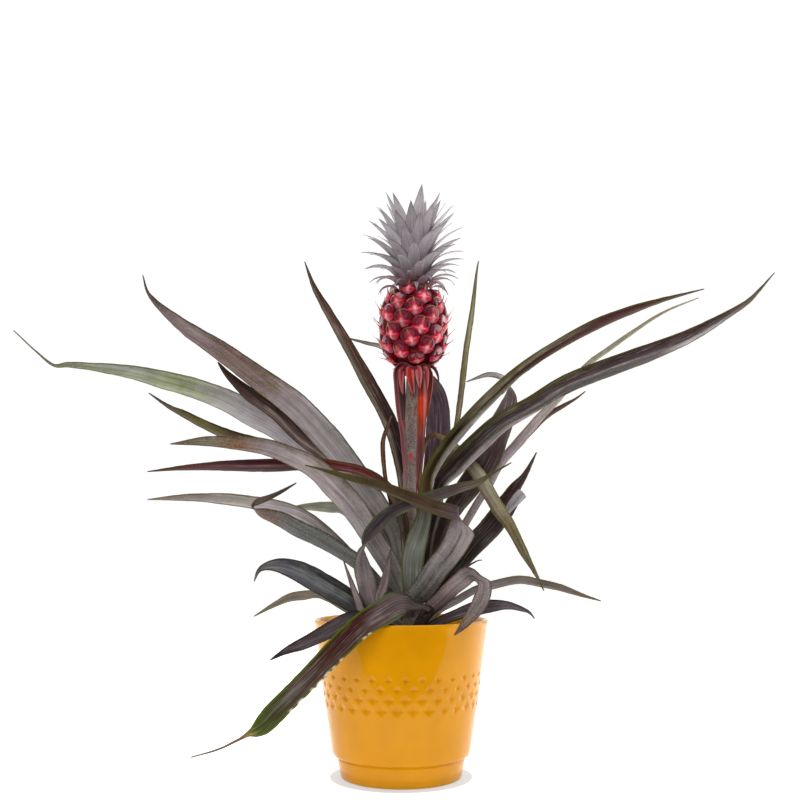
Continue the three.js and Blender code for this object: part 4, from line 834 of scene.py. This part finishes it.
def swept(leaf):
    """The rows of a leaf: centre, way across, way up, breadth, length so far, and edge-on or not."""
    route, spans = leaf["route"], len(leaf["route"]) - 1
    steps = []
    for i in range(spans):
        count = max(2, round(math.dist(route[i][:3], route[i + 1][:3]) / ROW_LENGTH))
        steps += list(i + np.arange(count) / count)
    steps = np.array(steps + [spans])
    centre, along = smooth_path(route, np.minimum(steps, spans - 1e-9))
    widths = np.interp(steps, range(spans + 1), [point[3] for point in route])
    given = [point[4] if len(point) > 4 else leaf["lean"] * abs(point[3]) for point in route]
    upright = np.stack([along[:, 2], np.zeros(len(along)), -along[:, 0]], axis=1)
    upright /= lengths(upright, NO_LENGTH)[:, None]
    across = upright * (leaf["face"] * widths)[:, None]
    across[:, 1] += np.interp(steps, range(spans + 1), given)
    across -= along * np.sum(across * along, axis=1)[:, None]
    if "fold" in leaf:
        at, *creased = np.array(leaf["fold"]).T
        inside = (steps >= at[0]) & (steps <= at[-1])
        across[inside] = np.stack([np.interp(steps[inside], at, part) for part in creased], axis=1)
    across = softened(across, 2)
    breadth = lengths(across, NARROWEST)
    across /= lengths(across, NO_LENGTH)[:, None]
    up = np.cross(across, along)
    up /= lengths(up, 0.3)[:, None]
    so_far = np.concatenate([[0], np.cumsum(np.linalg.norm(np.diff(centre, axis=0), axis=1))])
    return centre, across, up, breadth, so_far, np.abs(across[:, 1]) ** 6


def channel(number, breadth, length, edge_on, hem):
    """The middle line of a leaf's section: hollowed, rippled, and turned in along a hem where it has one."""
    wide = breadth / 2
    lift = CHANNEL * breadth * (1 + EDGE_ON_DEEPER * edge_on)
    ripple = RIPPLE * noise.noise((length / RIPPLE_LENGTH, number * 3.1, 0)) * min(1, wide / 4)
    line = []
    for side in np.linspace(-1, 1, ACROSS):
        uneven = ripple + UNEVEN * noise.noise((length / UNEVEN_LENGTH, number, side * 9))
        edge = 1 + uneven / max(wide, 1) * side**2
        p, q = side * wide * edge, lift * (side * side - 0.5)
        turned_share = 2 * hem / (1 + hem)
        if hem > LEAST_HEM and side > 1 - turned_share:
            turned_by = (side - (1 - turned_share)) / turned_share
            p, q = wide - turned_by * 2 * wide * hem, lift / 2 + turned_by * wide * hem * 1.1
        elif hem > LEAST_HEM:
            p = -wide + (side + 1) * wide * (1 + hem)
        line.append((p, q))
    return np.array(line)


def coloured(leaf, number, tint, length, share, side, way):
    """The colour of one point, with the leaf's blotch, its paler side and its stripes."""
    if "blotch" in leaf and leaf["blotch"][1] < share < leaf["blotch"][2]:
        code, first, last = leaf["blotch"]
        patch = noise.fractal((length / 7, side * 1.6 + number, 5), 1, 2, 3) + 0.15
        tint = stained(tint, code, held(patch * 2.2) * min(1, 12 * min(share - first, last - share)))
    if "side_tint" in leaf and way > 0:
        code, inner = leaf["side_tint"]
        tint = stained(tint, code, held((-side - inner) * 4))
    for code, low, high, first, last, strength in leaf.get("stripes", ()):
        inside = held(min(side - low, high - side) * 5 + 0.5)
        inside *= held(min(share - first, last - share) * 12) * strength
        inside *= held(1 + noise.noise((length / 9, side * 3, number)), 0.3, 1.3)
        tint = stained(tint, code, inside)
    return tint


def blade(leaf, number):
    """A leaf's points, faces and marks. The upper face and the underside share no points."""
    centre, across, up, breadth, so_far, edge_on = swept(leaf)
    shares = so_far / so_far[-1]
    hem = np.zeros(len(shares))
    if "hem" in leaf:
        hem = np.where(shares < leaf["hem"][0][0], 0, np.interp(shares, *zip(*leaf["hem"])))
    hem = softened(hem, 5)
    margin = leaf["margin"] if isinstance(leaf["margin"], list) else [(0, leaf["margin"])]
    faces_of = ((1, tints(leaf["upper"], shares)), (-1, tints(leaf["under"], shares)))
    tint_edge, dry_edge = tints(margin, shares), shade("d9cda6")
    sides = np.linspace(-1, 1, ACROSS)
    points, marks = [], {"tint": [], "edge_tint": [], "strip": [], "rim": [], "under": []}
    for i, (share, length) in enumerate(zip(shares, so_far)):
        wide, torn = breadth[i] / 2, 0
        line = channel(number, breadth[i], length, edge_on[i], hem[i])
        if "ragged" in leaf:
            start, stop, deep = leaf["ragged"]
            torn = max(0, noise.fractal((length / TEAR_LENGTH, 9.7, 0), 1, 2, 3)) * deep * 2
            torn *= start < share < stop
            line[:3, 0] += torn * np.array([1.0, 0.5, 0.15])
        slope = np.gradient(line, axis=0)
        outward = np.stack([-slope[:, 1], slope[:, 0]], axis=1)
        outward /= lengths(outward, NO_LENGTH)[:, None]
        thick = LEAF_THICKNESS * (0.5 - 0.3 * sides**2) * min(1, 0.25 + wide / 3)
        rim = (1 - np.abs(sides)) * wide / leaf.get("edge", 1) + max(0, 1.6 - wide)
        for way, tint in faces_of:
            section = line + way * outward * thick[:, None]
            points += list(centre[i] + across[i] * section[:, :1] + up[i] * section[:, 1:])
            marks["rim"] += list(rim)
            for side in sides:
                marks["tint"].append(coloured(leaf, number, tint[i], length, share, side, way))
                marks["edge_tint"].append(dry_edge if side < -0.7 and torn > DRY_TEAR else tint_edge[i])
                marks["strip"].append((side * wide, length, number * 17.0 + way * 5))
                marks["under"].append(0.0 if way > 0 else 1.0)
    return points, strip_faces(0, len(shares), ACROSS), marks


def leaf_skin(name, roughness, bloom, contrast, silver):
    """A leaf's finish: lengthwise veins, streaks of silver scurf, a darker edge, painted shade along the
    middle crease, and a waxy bloom below.
    """
    skin = Finish(name, roughness, Specular_IOR_Level=0.15)
    strip, rim, under = skin.mark("strip", "Vector"), skin.mark("rim"), skin.mark("under")
    veins = skin.grain(skin.stretched(strip, 1.1, 0.028, 1.0), 1.0, 4.0, 0.62)
    bands = skin.grain(skin.stretched(strip, 0.3, 0.014, 1.0), 1.0, 2.0)
    clouds = skin.grain(strip, 0.07, 4.0, 0.6)
    specks = skin.grain(strip, 0.8, 4.0, 0.7)
    spots = skin.grain(skin.stretched(strip, 0.5, 0.16, 1.0), 1.0, 3.0, 0.6)
    # Painted shade: a thin darker line along the middle of the leaf, where its channel creases.
    painted_crease_shade = skin.field("ShaderNodeSeparateXYZ", strip).by("ABSOLUTE").spread(0.15, 0.75, 0.78, 1.0)
    value = veins.spread(0.33, 0.67, 1 - contrast, 1 + contrast) * bands.spread(0.3, 0.7, 0.74, 1.26)
    value = value * clouds.spread(0.3, 0.7, 0.82, 1.18) * painted_crease_shade
    toned = skin.toned(skin.mark("tint", "Color"), value, bands.spread(0.35, 0.65, 1.15, 0.85))
    scurf = veins.spread(0.52, 0.7, 0.0, silver) * clouds.spread(0.35, 0.6, 0.25, 1.0)
    silvered = skin.mix(scurf, toned, shade("b4aaa8"))
    near = rim.spread(0.5, 1.5, 0.85, 0.0, interpolation_type="SMOOTHSTEP")
    marbled = spots.spread(0.53, 0.6, 0.0, 0.55) * rim.spread(0.8, 3.2, 1.0, 0.0)
    edged = skin.mix(near.by("MAXIMUM", marbled), silvered, skin.mark("edge_tint", "Color"))
    dust = specks.spread(0.5, 0.75, 0.0, bloom) * under
    skin.wear(Base_Color=skin.mix(dust, edged, shade("b9b2b3")))
    skin.wear(Roughness=under.by("MULTIPLY_ADD", 0.16, roughness) + bands.by("MULTIPLY_ADD", 0.2, -0.1))
    skin.relief(veins, 0.45, 0.00025)
    return skin.material


leaf_skins = {
    "leaf_grey": leaf_skin("grey_bloomed_leaf", 0.46, 0.45, 0.28, 0.12),
    "leaf_dark": leaf_skin("dark_satin_leaf", 0.36, 0.3, 0.38, 0.3),
    "leaf_green": leaf_skin("olive_leaf", 0.46, 0.3, 0.28, 0.12),
    "leaf_maroon": leaf_skin("maroon_leaf", 0.44, 0.25, 0.3, 0.2),
}
for number, leaf in enumerate(LEAVES):
    piece = new_piece(leaf["name"].replace("leaf_", "blade_"), *blade(leaf, number), sharp=60)
    piece.data.materials.append(leaf_skins[leaf["slot"]])
    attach(piece, "root")
    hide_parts(leaf.get("node", leaf["name"]))

# The fruit's stalk: round, firm and a little bent, with a scurfy taupe skin covered in dark flecks. It
# grows out of the stem's top, and small red-edged scales lie against it.
STALK_ROUTE = ((8, 0, 168.35), (7, 0, 230), (8.5, 0, 290), (10.4, 0, 328))
STALK_RADIUS = 5.4
STALK_ROWS, STALK_SIDES = 131, 36
STALK_SCALES, SCALE_LOWEST, SCALE_SPACING = 7, 224.0, 13.6
SCALE_ROWS, SCALE_COLUMNS = 9, 7
SCALE_FOOT, SCALE_TALL, SCALE_HALF_WIDTH = 4.5, 9.5, 3.4
KNOBS, KNOB_HEIGHT = 0.05, 22
SCALE_TURN = 2.39996  # radians from one scale to the next

centre, _ = smooth_path(STALK_ROUTE, np.linspace(0, len(STALK_ROUTE) - 1 - 1e-9, STALK_ROWS))
points = [centre[0]]
for x, y, z in centre:
    for i in range(STALK_SIDES):
        angle = 2 * math.pi * i / STALK_SIDES
        knob = noise.fractal((math.cos(angle), math.sin(angle), z / KNOB_HEIGHT), 1, 2, 3)
        grow = STALK_RADIUS * (1 + KNOBS * knob)
        points.append((x + grow * math.cos(angle), y + grow * math.sin(angle), z))
points.append(centre[-1])
faces = tube_faces(STALK_ROWS, STALK_SIDES)
marks = {"scale": [0.0] * len(points), "rise": [0.0] * len(points)}
faces += strip_faces(len(points), SCALE_ROWS, SCALE_COLUMNS, turned_over=True)
for rise in np.linspace(0, 1, SCALE_ROWS):
    half = SCALE_HALF_WIDTH * (1 - rise) ** 0.8 + 0.1
    for way in (0.45, 0.0):
        for side in np.linspace(-1, 1, SCALE_COLUMNS):
            bulge = 1.5 * math.sin(math.pi * min(1, rise * 0.6 + 0.2)) - 1.3 * (side * half / 3) ** 2
            points.append((STALK_RADIUS - 0.5 + bulge + way, side * half, SCALE_TALL * rise - SCALE_FOOT))
            marks["scale"].append(1.0)
            marks["rise"].append(rise)
stalk = new_piece("scurfy_stalk", points, faces, marks, sharp=60)

scurf = Finish("scurfy_stalk", 0.72)
place = scurf.place()
blotches = scurf.grain(scurf.stretched(place, 1.0, 1.0, 0.45), 160.0, 4.0, 0.65)
flecks = scurf.grain(place, 900.0, 3.0, 0.7)
skin = scurf.ramp(blotches, (0.3, "55443f"), (0.68, "8a7a72"))
flecked = scurf.mix(flecks.spread(0.52, 0.6, 0.0, 0.85), skin, shade("33231f"))
red = scurf.ramp(scurf.mark("rise"), (0.1, "7d5f5e"), (0.75, "a82c3c"))
scurf.wear(Base_Color=scurf.mix(scurf.mark("scale"), flecked, red))
scurf.relief(flecks, 0.5, 0.0003)

sizes = {"Scales": STALK_SCALES, "Lowest": SCALE_LOWEST * MM, "Between": SCALE_SPACING * MM,
    "Turn": SCALE_TURN}
rule = Rule("stalk_scales", sizes)
size = rule.size
scale, bare = rule.parted("scale")
spots, index = rule.line(size["Scales"])
height = index * size["Between"] + size["Lowest"]
bow = (height / MM - STALK_ROUTE[1][2]) / 60.0
aside = (bow * bow * 0.55 + bow * 0.6 + STALK_ROUTE[1][0]) * MM
spots = rule.field("GeometryNodeSetPosition", spots, None, rule.spot(aside, 0.0, height))
scales = rule.copies(spots, scale, rule.spot(0.0, 0.0, index * size["Turn"]))
rule.shape(stalk, scurf, bare, scales)
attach(stalk, "root")
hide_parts("fruit_stalk")

# The bracts under the fruit: dry ribbons that arch out of a collar round the stalk's top and hang down
# along it. They are red where they are fresh and fade to maroon and brown towards their ends.
FRUIT_X = 10.4
BRACTS = [
    dict(upper=[(0, "8c3340"), (0.3, "8a4648"), (0.75, "7c4b46"), (1, "8e6a66")], margin="8e565a",
        route=[(-3, -6, 325, 8), (-10, -7, 329, 8), (-15, -7, 324, 7), (-15, -8, 312, 6), (-13, -8, 290, 6),
            (-9.5, -8, 268, 5), (-8, -7.5, 246, 4), (-7, -7, 226, 0.8)]),
    dict(upper=[(0, "97303c"), (0.4, "8c2f35"), (1, "a04b42")], margin="94584e",
        route=[(4, -6, 325, 8), (10, -8, 327, 8), (14, -9, 321, 7), (14, -9, 308, 6), (12, -9, 294, 4),
            (11, -8, 284, 0.8)]),
    dict(upper=[(0, "6e2a30"), (0.2, "98373a"), (0.235, "d24a33"), (0.36, "c54a34"), (0.5, "8a443c"),
            (0.62, "64383a"), (0.78, "503235"), (1, "44282d")], margin="7c4a3a",
        route=[(3, -7, 322, 7), (6, -9, 318, 9), (7.4, -10, 306, 10.5), (7.2, -10, 292, 9.5), (6, -9, 268, 8),
            (4.4, -9, 246, 6.5), (3, -8, 226, 0.8)]),
    dict(upper=[(0, "b5404c"), (0.4, "cf4438"), (0.7, "a84a4c"), (1, "7e3038")], margin="b06a66",
        route=[(-2, -7, 325, 7), (-3, -12, 325, 8), (-3, -13, 318, 7), (-1, -11, 307, 4),
            (0, -10, 302, 0.8)]),
    dict(upper=[(0, "8e2b36"), (0.5, "93343a"), (1, "8a4a3c")], margin="8a5048",
        route=[(6, 3, 325, 8), (12, 6, 327, 8), (15, 8, 320, 7), (14, 8, 306, 5), (13, 7, 294, 0.8)]),
    dict(upper=[(0, "7a2d38"), (0.3, "4e2a2a"), (1, "3c2624")], margin="583634",
        route=[(-6, 3, 325, 8), (-11, 5, 328, 10), (-11.5, 6, 320, 13), (-11, 6, 304, 13), (-10, 6, 284, 11),
            (-9, 5, 262, 7), (-8.5, 5, 248, 0.8)]),
    dict(upper=[(0, "9c3040"), (0.4, "5a2428"), (1, "3c2024")], margin="6a3a3c",
        route=[(8, -5, 326, 4), (13, -7, 328, 5), (17, -8, 326, 4.6), (20, -8, 320, 3.4),
            (20.8, -8, 313, 0.6)]),
    dict(upper=[(0, "c23c48"), (0.6, "a84a50"), (1, "8c4444")], margin="c07a76",
        route=[(2, -8, 325, 6), (3.6, -13, 324.5, 7), (4.4, -14, 316, 5), (5, -13, 308, 0.8)]),
    dict(upper=[(0, "a83a44"), (0.5, "b8484e"), (1, "7c3c40")], margin="b8706e",
        route=[(-8, -7, 325, 6), (-10, -11, 323.5, 7), (-10.5, -12, 313, 5), (-9, -11, 303, 0.8)]),
    dict(upper=[(0, "b04450"), (0.5, "a43c40"), (1, "8a4a44")], margin="c47e78",
        route=[(8, -8, 325, 6), (10, -11.5, 324, 7), (10.6, -12, 314, 5), (9.6, -11.6, 300, 0.8)]),
    dict(upper=[(0, "8a2c38"), (0.5, "80323a"), (1, "6a3634")], margin="7c4848",
        route=[(0, 7, 325, 8), (0, 12, 328, 8), (0, 15, 320, 7), (0, 14, 304, 5), (0, 12, 292, 0.8)]),
]
FIRST_BRACT = 60  # the noise of a bract starts from this number, so that none repeats a leaf
COLLAR = ((5.7, 320.5), (8.6, 321.2), (9.9, 323.5), (10.2, 326.2), (9.4, 327.4), (5.7, 327.6))
COLLAR_SIDES = 60
FRILLS, FRILL_DEPTH = 7, 0.05

points, faces, marks = [], [], {mark: [] for mark in ("tint", "edge_tint", "strip", "rim", "under")}
for number, bract in enumerate(BRACTS):
    route = []
    for x, y, z, width in bract["route"]:
        away = math.atan2(y, x)
        route.append((x + FRUIT_X, y, z, max(0.8, abs(math.sin(away)) * width), math.cos(away) * width))
    ribbon = bract | {"route": route, "face": 1, "lean": 0, "under": bract["upper"]}
    more_points, more_faces, more_marks = blade(ribbon, FIRST_BRACT + number)
    faces += [tuple(corner + len(points) for corner in face) for face in more_faces]
    points += more_points
    for mark in marks:
        marks[mark] += more_marks[mark]
collar_start = len(points)
for radius, z in COLLAR:
    for i in range(COLLAR_SIDES):
        angle = 2 * math.pi * i / COLLAR_SIDES
        frill = 1 + FRILL_DEPTH * math.sin(FRILLS * angle) * (radius > 8)
        points.append((FRUIT_X + radius * frill * math.cos(angle), radius * frill * math.sin(angle), z))
        collar = (shade("7c2430"), shade("8c3a42"), (angle * radius, z, 3.0), 4.0, 0.0)
        for mark, value in zip(marks, collar):
            marks[mark].append(value)
for row in range(len(COLLAR)):
    low, high = (collar_start + (row + k) % len(COLLAR) * COLLAR_SIDES for k in (0, 1))
    for i in range(COLLAR_SIDES):
        j = (i + 1) % COLLAR_SIDES
        faces.append((low + i, low + j, high + j, high + i))
bracts = new_piece("bract_ribbons", points, faces, marks, sharp=60)
bracts.data.materials.append(leaf_skin("papery_bract", 0.5, 0.1, 0.34, 0.1))
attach(bracts, "root")
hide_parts("stalk_bracts")

# The fruit: a short barrel covered in eyes that stand in spirals. Each eye is a glossy dark red cushion
# with a groove round it, and a pink scale with a hooked golden spine lies across its lower half.
FRUIT_BOTTOM, FRUIT_TOP = 329.0, 393.6
FRUIT_RADIUS = 24.6
FRUIT_ROUNDNESS = 1 / 2.6
FRUIT_ROWS, FRUIT_SIDES = 30, 64
EYES = 50
EYE_SIZE = 8.6
EYE_WIDE, EYE_TALL, EYE_RAISED = 1.03, 0.93, 0.4
CUSHION = ((0.1, 4.5), (0.22, 4.4), (0.36, 4.2), (0.48, 4.0), (0.56, 3.95), (0.66, 3.85), (0.78, 3.4),
    (0.88, 2.5), (0.96, 1.3), (1.0, -0.2), (0.97, -2.5))  # share of the eye's size, height
CUSHION_SIDES = 40
SCALE_PATH = ((-0.8, -9.6), (1.6, -8.4), (3.1, -6.4), (4.1, -4.6), (4.6, -3.0), (5.1, -1.2), (6.4, 0.3),
    (8.0, 1.5), (9.5, 3.0), (10.6, 5.0))  # out and up, from the scale's foot to the spine's tip
SCALE_WIDTHS = (1.2, 4.6, 6.6, 7.9, 4.6, 2.4, 1.4, 0.9, 0.6, 0.15)
SPINE_FROM = 0.7
GOLDEN_TURN = 2.3999632  # radians from one eye, or crown leaf, to the next
BAR_AT, BAR_TALL = -4.6, 1.5  # the pale bar across a scale
RIDGE, RIDGE_WIDE = 0.55, 1.8
SCALE_ROWS, SCALE_COLUMNS = 34, 13


def fruit_radius(share):
    """Half-width of the fruit's core at a height from 0, its base, to 1, its top."""
    middle = 2 * share - 1
    return FRUIT_RADIUS * (1 - abs(middle) ** 3) ** FRUIT_ROUNDNESS * (1 + 0.02 * middle)


rows = 0.5 - 0.5 * np.cos(np.linspace(0.12, 3.02, FRUIT_ROWS))
profile = [(fruit_radius(s) - 0.4, FRUIT_BOTTOM + (FRUIT_TOP - FRUIT_BOTTOM) * s) for s in rows]
points, faces = turned([(0, FRUIT_BOTTOM), *profile, (0, FRUIT_TOP)], FRUIT_SIDES, (FRUIT_X, 0))
marks = {"eye": [0.0] * len(points), "shine": [0.0] * len(points), "tint": [shade("5c030e")] * len(points)}


def add_point(point, shine, tint):
    points.append(point)
    for mark, value in zip(marks, (1.0, shine, tint)):
        marks[mark].append(value)


apex = len(points)
add_point((CUSHION[0][1], 0, EYE_RAISED), 1.0, shade("762c3c"))
for share, high in CUSHION:
    # Each cushion is lighter in its middle and darkens into the groove round it; the dark groove is partly
    # the fruit's deep red and partly painted shade.
    groove = held((share - 0.72) / 0.2)
    tint = stained(np.array(shade("762c3c" if share < 0.5 else "540e1c")), "52020c", groove)
    for angle in 2 * math.pi * np.arange(CUSHION_SIDES) / CUSHION_SIDES:
        aside = share * EYE_SIZE * math.cos(angle) * EYE_WIDE
        up = EYE_RAISED + share * EYE_SIZE * math.sin(angle) * EYE_TALL
        add_point((high, aside, up), 1.0 - groove, tint)
for i in range(CUSHION_SIDES):
    j = (i + 1) % CUSHION_SIDES
    faces.append((apex, apex + 1 + i, apex + 1 + j))
    for row in range(len(CUSHION) - 1):
        inner, outer = (apex + 1 + (row + k) * CUSHION_SIDES for k in (0, 1))
        faces.append((inner + i, outer + i, outer + j, inner + j))
faces.append(tuple(reversed(range(len(points) - CUSHION_SIDES, len(points)))))

codes = ("a86470", "f4a4ae", "b40a22", "8a0a1c", "98783c")
pale, pink, red, deep, gold = (np.array(shade(code)) for code in codes)
knots = np.linspace(0, 1, len(SCALE_PATH))
faces += strip_faces(len(points), SCALE_ROWS, SCALE_COLUMNS, turned_over=True)
for at in np.linspace(0, 1, SCALE_ROWS):
    out, up, half = (float(np.interp(at, knots, values)) for values in (*zip(*SCALE_PATH), SCALE_WIDTHS))
    bar = max(0.0, 1 - abs(up - BAR_AT) / BAR_TALL)
    tip = held((at - SPINE_FROM) / 0.14)
    for way in (0.35, -0.35):
        for side in np.linspace(-1, 1, SCALE_COLUMNS):
            wide = abs(side * half)
            ridge = RIDGE * max(0.0, 1 - wide / RIDGE_WIDE, bar * (1 - wide / 8)) * (at < SPINE_FROM)
            lifted = out + ridge - 0.03 * wide * wide + way * (1 - 0.7 * at)
            middle = max(0.0, 1 - wide / 2.8, bar * (0.9 - wide / 7.5)) ** 1.1 * held((0.62 - at) / 0.16, 0.2)
            low = 0.8 * held(1.25 - at / 0.24) * (1 - 0.5 * abs(side) ** 3)
            colour = (red * (1 - middle) + pink * middle) * (1 - low) + pale * low
            colour = colour * (1 - tip) + gold * tip if way > 0 else deep * (1 - tip) + gold * tip * 0.6
            add_point((lifted, side * half, up + 0.12 * wide * (at < 0.45)), 0.35, colour)
fruit = new_piece("spiny_fruit", points, faces, marks, sharp=70)

rosy = shade("f08a9c")
wax = Finish("waxy_red_fruit", 0.2, Subsurface_Weight=0.05, Subsurface_Scale=0.002, Specular_Tint=rosy)
place = wax.place()
clouds = wax.grain(place, 330.0, 5.0, 0.68)
fine = wax.grain(place, 1800.0, 2.0, 0.6)
value = clouds.spread(0.3, 0.7, 0.45, 1.7) * wax.mark("chance").spread(0.0, 1.0, 0.72, 1.2)
toned = wax.toned(wax.mark("tint", "Color"), value, 1.05)
wax.wear(Base_Color=wax.mix(fine.spread(0.52, 0.72, 0.0, 0.3), toned, shade("b98a92")))
shine = wax.mark("shine")
wax.wear(Specular_IOR_Level=shine.spread(0.0, 1.0, 0.0, 0.7), Roughness=shine.spread(0.0, 1.0, 0.8, 0.14))
wax.wear(Coat_Weight=shine.spread(0.4, 1.0, 0.0, 0.7), Coat_Roughness=0.06)
wax.relief(clouds, 0.35, 0.0003)

sizes = {"Eyes": EYES, "Bottom": FRUIT_BOTTOM * MM, "Height": (FRUIT_TOP - FRUIT_BOTTOM) * MM,
    "Radius": FRUIT_RADIUS * MM, "Middle": FRUIT_X * MM, "Turn": GOLDEN_TURN, "Seed": 3}
rule = Rule("eyes_in_spirals", sizes)
size = rule.size


def barrel(share):
    """The same half-width, in the tree."""
    middle = share * 2.0 - 1.0
    fall = (middle.by("ABSOLUTE") ** 3.0).flipped() + 1.0
    return size["Radius"] * fall**FRUIT_ROUNDNESS * (middle * 0.02 + 1.0)


eye, core = rule.parted("eye")
spots, index = rule.line(size["Eyes"])
share = (index + 0.5) / size["Eyes"] * 0.91 + 0.045
out = barrel(share)
slope = (barrel(share - 0.03) - barrel(share + 0.03)).by("ARCTAN2", size["Height"] * 0.06)
turn = index * size["Turn"]
x, y = out * turn.by("COSINE") + size["Middle"], out * turn.by("SINE")
spot = rule.spot(x, y, share * size["Height"] + size["Bottom"])
spots = rule.field("GeometryNodeSetPosition", spots, None, spot)
spots = rule.store(spots, "chance", rule.random(seed=size["Seed"]))
facing = rule.spot(rule.random(-0.32, 0.32), slope.flipped(), turn)
grown = (share * math.pi).by("SINE") * 0.2 + 0.8
eyes = rule.copies(spots, eye, facing, rule.spot(grown, grown, grown))
rule.shape(fruit, wax, core, eyes)
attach(fruit, "root")
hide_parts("fruit")

# The crown: a tuft of stiff grey leaves growing from the fruit's top in a spiral. The lowest are narrow
# and curl back, and the highest are broad and stand up. A scurfy bloom makes them mauve grey.
CROWN_CORE = ((0, 389), (12.3, 389.2), (12.5, 396), (12.2, 405), (10, 414), (7.5, 423), (3, 434), (0, 438))
CORE_SIDES = 40
CROWN_ROWS, CROWN_COLUMNS = 26, 9
CROWN_SIZES = {"Leaves": 82, "Bottom": 389.0 * MM, "Middle": FRUIT_X * MM, "Shortest": 14.0 * MM,
    "Longest": 54.0 * MM, "Narrowest": 8.5 * MM, "Widest": 16.5 * MM, "Lowest rise": 0.6,
    "Highest rise": 1.27, "Most bend": 2.5, "Least bend": 0.12, "Foot out": 15.0 * MM,
    "Closing in": 10.0 * MM, "Column": 36.0 * MM, "Turn": GOLDEN_TURN, "Seed": 8}

points, faces = turned(CROWN_CORE, CORE_SIDES, (FRUIT_X, 0))
marks = {mark: [0.0] * len(points) for mark in ("along", "across", "side", "leafy")}
faces += strip_faces(len(points), CROWN_ROWS, CROWN_COLUMNS)
for along in np.linspace(0, 1, CROWN_ROWS):
    for side in (1.0, -1.0):
        for across in np.linspace(-1, 1, CROWN_COLUMNS):
            points.append((0, 0, 400))
            for mark, value in zip(marks, (along, across, side, 1.0)):
                marks[mark].append(value)
crown = new_piece("grey_crown", points, faces, marks)

bloom = Finish("mauve_grey_bloom", 0.7, Specular_IOR_Level=0.35)
along, across, side, rank, jitter = map(bloom.mark, ("along", "across", "side", "rank", "jitter"))
# Painted shade: the crown leaves are darker at their feet, towards their edges and on their inner faces.
greys_with_painted_foot_shade = bloom.ramp(along, (0, "7e6c72"), (0.35, "beb3b9"), (0.75, "c2babe"), (1, "928c8e"))
flush = rank.spread(0.06, 0.34, 0.9, 0.0) * along.spread(0.0, 0.8, 1.0, 0.2)
reddened = bloom.mix(flush, greys_with_painted_foot_shade, shade("96505e"))
edged = bloom.mix(across.by("ABSOLUTE").spread(0.8, 1.0, 0.0, 0.75), reddened, shade("5c5055"))
inward = bloom.mix(side.spread(-1.0, 1.0, 0.0, 0.55), edged, shade("544a4f"))
strip = bloom.field("ShaderNodeCombineXYZ", across, along, rank)
veins = bloom.grain(bloom.stretched(strip, 9.0, 1.6, 60.0), 1.0, 3.0, 0.6)
specks = bloom.grain(bloom.place(), 1300.0, 3.0, 0.7)
value = veins.spread(0.3, 0.7, 0.62, 1.28) * specks.spread(0.35, 0.65, 0.8, 1.18)
bloom.wear(Base_Color=bloom.toned(inward, value * jitter.spread(-1.0, 1.0, 0.82, 1.16)))
bloom.relief(veins, 0.3, 0.0003)

rule = Rule("crown_leaves", CROWN_SIZES)
size = rule.size


def between(first, second, share):
    return first + (second - first) * share


leaf, core = rule.parted("leafy")
spots, index = rule.line(size["Leaves"])
spots = rule.store(spots, "rank", index / (size["Leaves"] - 1.0))
spots = rule.store(spots, "turn", index * size["Turn"])
spots = rule.store(spots, "jitter", rule.random(-1.0, 1.0, size["Seed"]))
blades = rule.field("GeometryNodeRealizeInstances", rule.copies(spots, leaf))
marks = ("along", "across", "side", "rank", "turn", "jitter")
along, across, side, rank, turn, chance = map(rule.named, marks)
length = between(size["Shortest"], size["Longest"], rank**0.7) * (chance * 0.07 + 1.0)
bend = between(size["Most bend"], size["Least bend"], rank**0.5) * (chance * 0.12 + 1.0)
start = between(size["Lowest rise"], size["Highest rise"], rank) + bend / 6.0 + chance * 0.05
width = between(size["Narrowest"], size["Widest"], (rank * 1.6).by("MINIMUM", 1.0))
foot_out = size["Foot out"] - rank**1.7 * size["Closing in"]
foot_up = size["Bottom"] + 3.0 * MM + rank * size["Column"]
curl = bend * (4 / 3)
angle = start - curl * along
out = foot_out + length * (start.by("SINE") - angle.by("SINE")) / curl
up = foot_up + length * (angle.by("COSINE") - start.by("COSINE")) / curl
whip = (along.flipped() + 1.0) ** 1.05
full = (along**2.2).flipped() + 1.0
half = width * 0.5 * between(whip, full, rank**0.6)
arm = out.by("MAXIMUM", 5.0 * MM) * 0.75 + 2.5 * MM
swing = turn + half * across / arm
middle = out - arm
thick = (across * across * 0.7).flipped() + 1.0
lift = side * thick * ((along * 0.5).flipped() + 1.0) * (0.4 * MM)
inset = lift * angle.by("SINE")
x = middle * turn.by("COSINE") + arm * swing.by("COSINE") - inset * turn.by("COSINE") + size["Middle"]
y = middle * turn.by("SINE") + arm * swing.by("SINE") - inset * turn.by("SINE")
leaves = rule.field("GeometryNodeSetPosition", blades, None, rule.spot(x, y, up + lift * angle.by("COSINE")))
rule.shape(crown, bloom, core, leaves)
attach(crown, "root")
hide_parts("fruit_crown")

low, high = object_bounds()
